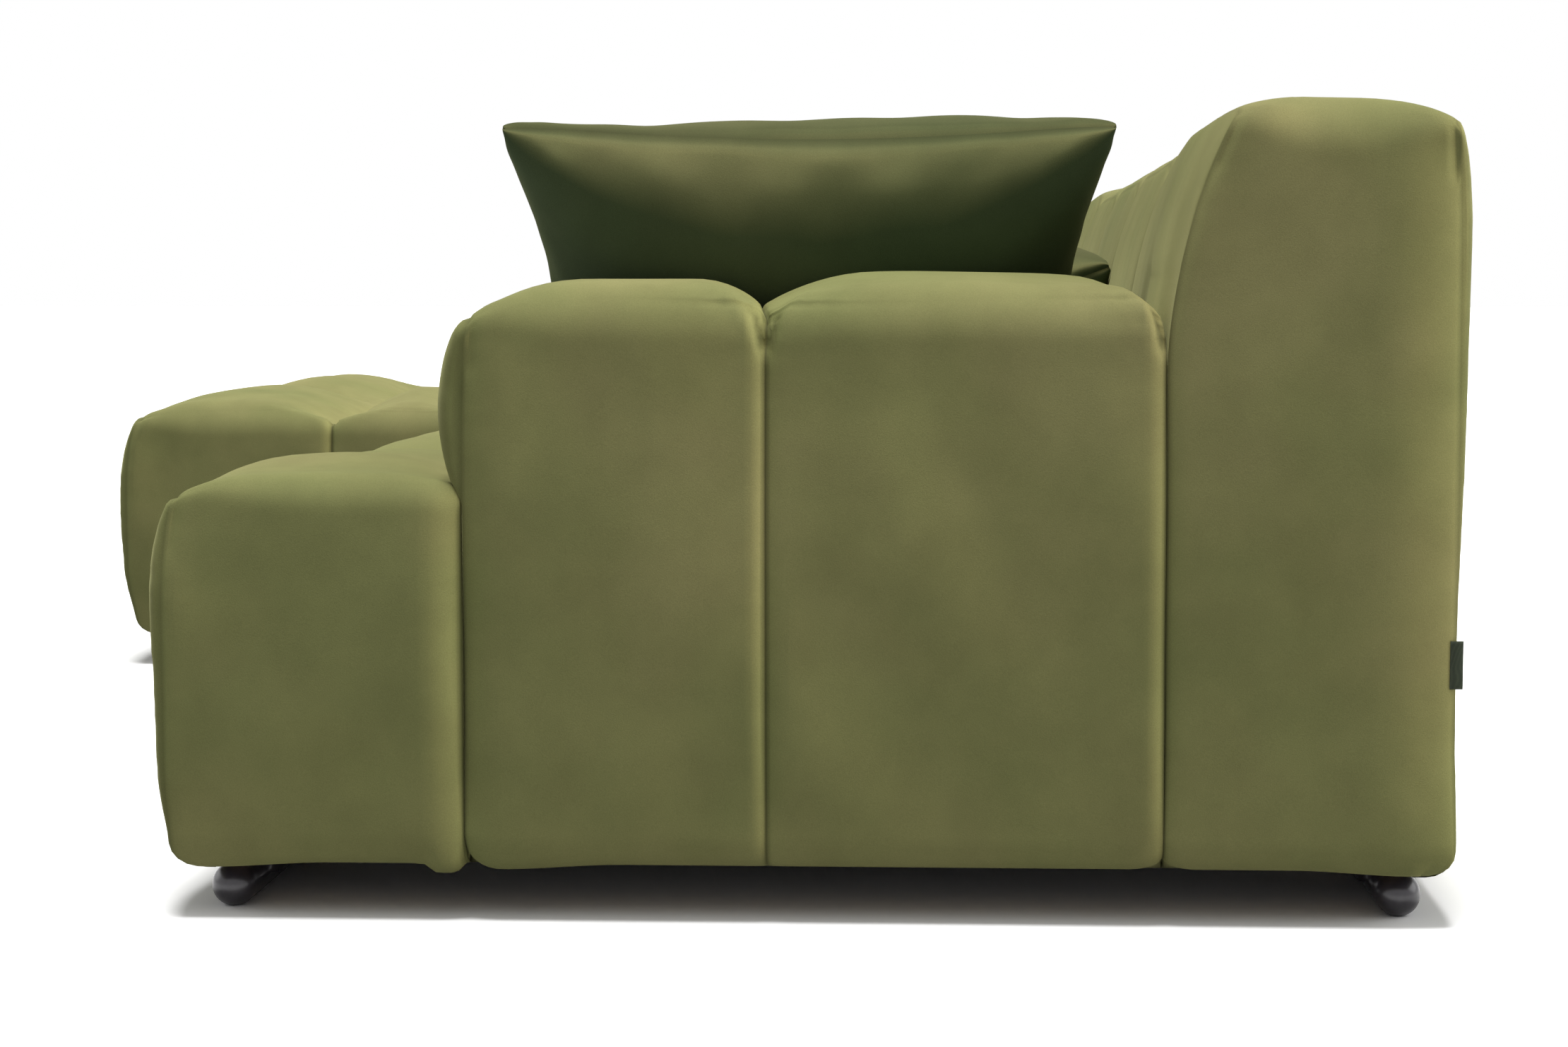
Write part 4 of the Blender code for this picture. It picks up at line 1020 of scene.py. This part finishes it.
quarter_turn = Matrix.Rotation(math.pi / 2, 4, 'Z')
add_pillow("arm_pillow", Matrix.Rotation(ARM_PILLOW_TILT, 4, 'Y') @ quarter_turn,
           ["arm_cover", "settee_seat_cover", "settee_front_cover"], 71, ARM_PILLOW_LEAN)
add_pillow("back_pillow", Matrix.Rotation(-BACK_PILLOW_TILT, 4, 'X'),
           ["settee_back_cover", "settee_seat_cover", "chaise_seat_cover", "chaise_back_cover"], 72)


# Feet and tab

def box_corners(low, high):
    """A box as points and polygons."""
    points = [(x, y, z) for x in (low[0], high[0]) for y in (low[1], high[1]) for z in (low[2], high[2])]
    return points, [(0, 1, 3, 2), (4, 6, 7, 5), (0, 4, 5, 1), (2, 3, 7, 6), (0, 2, 6, 4), (1, 5, 7, 3)]


def bar_surface(middle, length, y, z, sides=40, rings=10):
    """Round bar along X with domed ends, flat where it stands."""
    profile = [(-length / 2 + FOOT_RADIUS * (1 - math.cos(angle)), FOOT_RADIUS * math.sin(angle))
               for angle in (math.pi / 2 * k / rings for k in range(1, rings + 1))]
    profile += [(-x, radius) for x, radius in reversed(profile)]
    points, polygons = [(middle - length / 2, y, z)], []
    for x, radius in profile:
        for k in range(sides):
            angle = 2 * math.pi * k / sides
            points.append((middle + x, y + radius * math.cos(angle), max(z + radius * math.sin(angle), 0.0)))
    points.append((middle + length / 2, y, z))
    last = len(points) - 1
    for k in range(sides):
        after = (k + 1) % sides
        polygons.append((0, 1 + after, 1 + k))
        polygons.append((last, last - sides + k, last - sides + after))
        for ring in range(len(profile) - 1):
            start = 1 + ring * sides
            polygons.append((start + k, start + after, start + sides + after, start + sides + k))
    return points, polygons


def join(base, extra):
    """Add one closed object to another."""
    union = base.modifiers.new("union", 'BOOLEAN')
    union.operation, union.solver, union.object = 'UNION', 'EXACT', extra
    graph = bpy.context.evaluated_depsgraph_get()
    mesh = bpy.data.meshes.new_from_object(base.evaluated_get(graph))
    base.modifiers.clear()
    base.data = mesh
    bpy.data.objects.remove(extra, do_unlink=True)


def add_foot(node):
    """Bar with the saddle and the stud that hold it under its rail."""
    low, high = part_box(node)
    front = "_front_" in node
    bar_y = low[1] + FOOT_RADIUS if front else high[1] - FOOT_RADIUS
    saddle_y = high[1] - SADDLE_WIDTH / 2 if front else low[1] + SADDLE_WIDTH / 2
    middle, bar_z = (low[0] + high[0]) / 2, FOOT_RADIUS - 0.001
    foot = new_object("lacquer_" + node, *bar_surface(middle, high[0] - low[0], bar_y, bar_z))
    for name, half_x, half_y, bottom, top in (
            ("saddle", SADDLE_LENGTH / 2, SADDLE_WIDTH / 2, bar_z, RAIL_LOW),
            ("stud", STUD_RADIUS, STUD_RADIUS, RAIL_LOW - 0.010, high[2])):
        join(foot, new_object(name, *box_corners((middle - half_x, saddle_y - half_y, bottom),
                                                 (middle + half_x, saddle_y + half_y, top))))
    dress(foot, node, "sofa", "foot_lacquer")


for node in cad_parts:
    if "_foot_" in node:
        add_foot(node)


def add_tab(node, cover):
    """A folded strip of cloth, held at the end panel and free at the rear."""
    low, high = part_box(node)
    tree = surface_tree(cover)
    y_low, y_high = low[1] + 0.006, high[1] + 0.0057
    steps, half, bend = 16, 0.0006, 0.0015
    profile = [(-half, y_low), (half, y_low), (half, y_high - half), (0.0, y_high),
               (-half, y_high - half)]
    points, polygons, sides = [], [], len(profile)
    for step in range(steps + 1):
        z = low[2] + (high[2] - low[2]) * step / steps
        place = tree.ray_cast(Vector((high[0] + 0.1, y_low, z)), Vector((-1, 0, 0)))[0]
        middle = place.x + half
        wave = 0.0004 * math.sin(7 * step / steps)
        for x, y in profile:
            share = (y - y_low) / (y_high - y_low)
            points.append((middle + x - bend * share + wave * share, y, z))
    for step in range(steps):
        for k in range(sides):
            first, second = step * sides + k, step * sides + (k + 1) % sides
            polygons.append((first, second, second + sides, first + sides))
    polygons += [tuple(range(sides))[::-1], tuple(range(steps * sides, (steps + 1) * sides))]
    dress(new_object("cloth_" + node, points, polygons), node, "sofa", "tab_cloth")


add_tab("seam_tab", covers["settee_back_cover"])


# Dress the CAD nodes that stay

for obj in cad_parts.values():
    for material_slot in obj.material_slots:
        name = material_slot.material.name.split(".")[0] if material_slot.material else ""
        if name in MATERIALS:
            material_slot.material = MATERIALS[name]


# Floor, light and camera

def two_shades(owner, kind, light, seen, output):
    """Light the sofa with one set of values, and show another as the background, also in gloss and glass."""
    owner.use_nodes = True
    tree = owner.node_tree
    tree.nodes.clear()
    rays = add_node(tree, "LightPath").outputs
    share = combine('MAXIMUM', rays["Is Camera Ray"], rays["Is Glossy Ray"])
    share = combine('MAXIMUM', share, rays["Is Transmission Ray"])
    mix = add_node(tree, "MixShader", Fac=share)
    for number, values in ((1, light), (2, seen)):
        link(add_node(tree, kind, values).outputs[0], mix.inputs[number])
    add_node(tree, output, Surface=mix.outputs["Shader"])


def make_floor():
    size = 60.0
    corners = [(-size, -size, 0), (size, -size, 0), (size, size, 0), (-size, size, 0)]
    floor = new_object("floor", corners, [(0, 1, 2, 3)])
    material = bpy.data.materials.new("floor_paper")
    two_shades(material, "BsdfDiffuse", {"Color": (*grey(FLOOR_BOUNCE), 1.0)},
               {"Color": (*grey(FLOOR_SEEN), 1.0)}, "OutputMaterial")
    floor.data.materials.append(material)


def make_world():
    world = bpy.data.worlds.new("studio")
    bpy.context.scene.world = world
    white = (1, 1, 1, 1)
    two_shades(world, "Background", {"Color": white, "Strength": WORLD_LIGHT},
               {"Color": white, "Strength": 1.0}, "OutputWorld")


def add_sun(name, direction, strength, angle):
    data = bpy.data.lights.new(name, 'SUN')
    data.energy = strength
    data.angle = math.radians(angle)
    lamp = bpy.data.objects.new(name, data)
    lamp.rotation_euler = Vector(direction).to_track_quat('-Z', 'Y').to_euler()
    bpy.context.scene.collection.objects.link(lamp)


def make_camera():
    data = bpy.data.cameras.new("camera")
    data.sensor_width, data.lens = SENSOR, LENS
    data.shift_x, data.shift_y = SHIFT
    data.clip_start, data.clip_end = 0.05, 200.0
    camera = bpy.data.objects.new("camera", data)
    camera.location = CAMERA_PLACE
    camera.rotation_euler = (math.pi / 2 - CAMERA_PITCH, 0.0, math.pi / 2 + CAMERA_YAW)
    bpy.context.scene.collection.objects.link(camera)
    bpy.context.scene.camera = camera


make_floor()
make_world()
for sun in SUNS:
    add_sun(*sun)
make_camera()
bpy.context.scene.view_settings.view_transform = 'Standard'
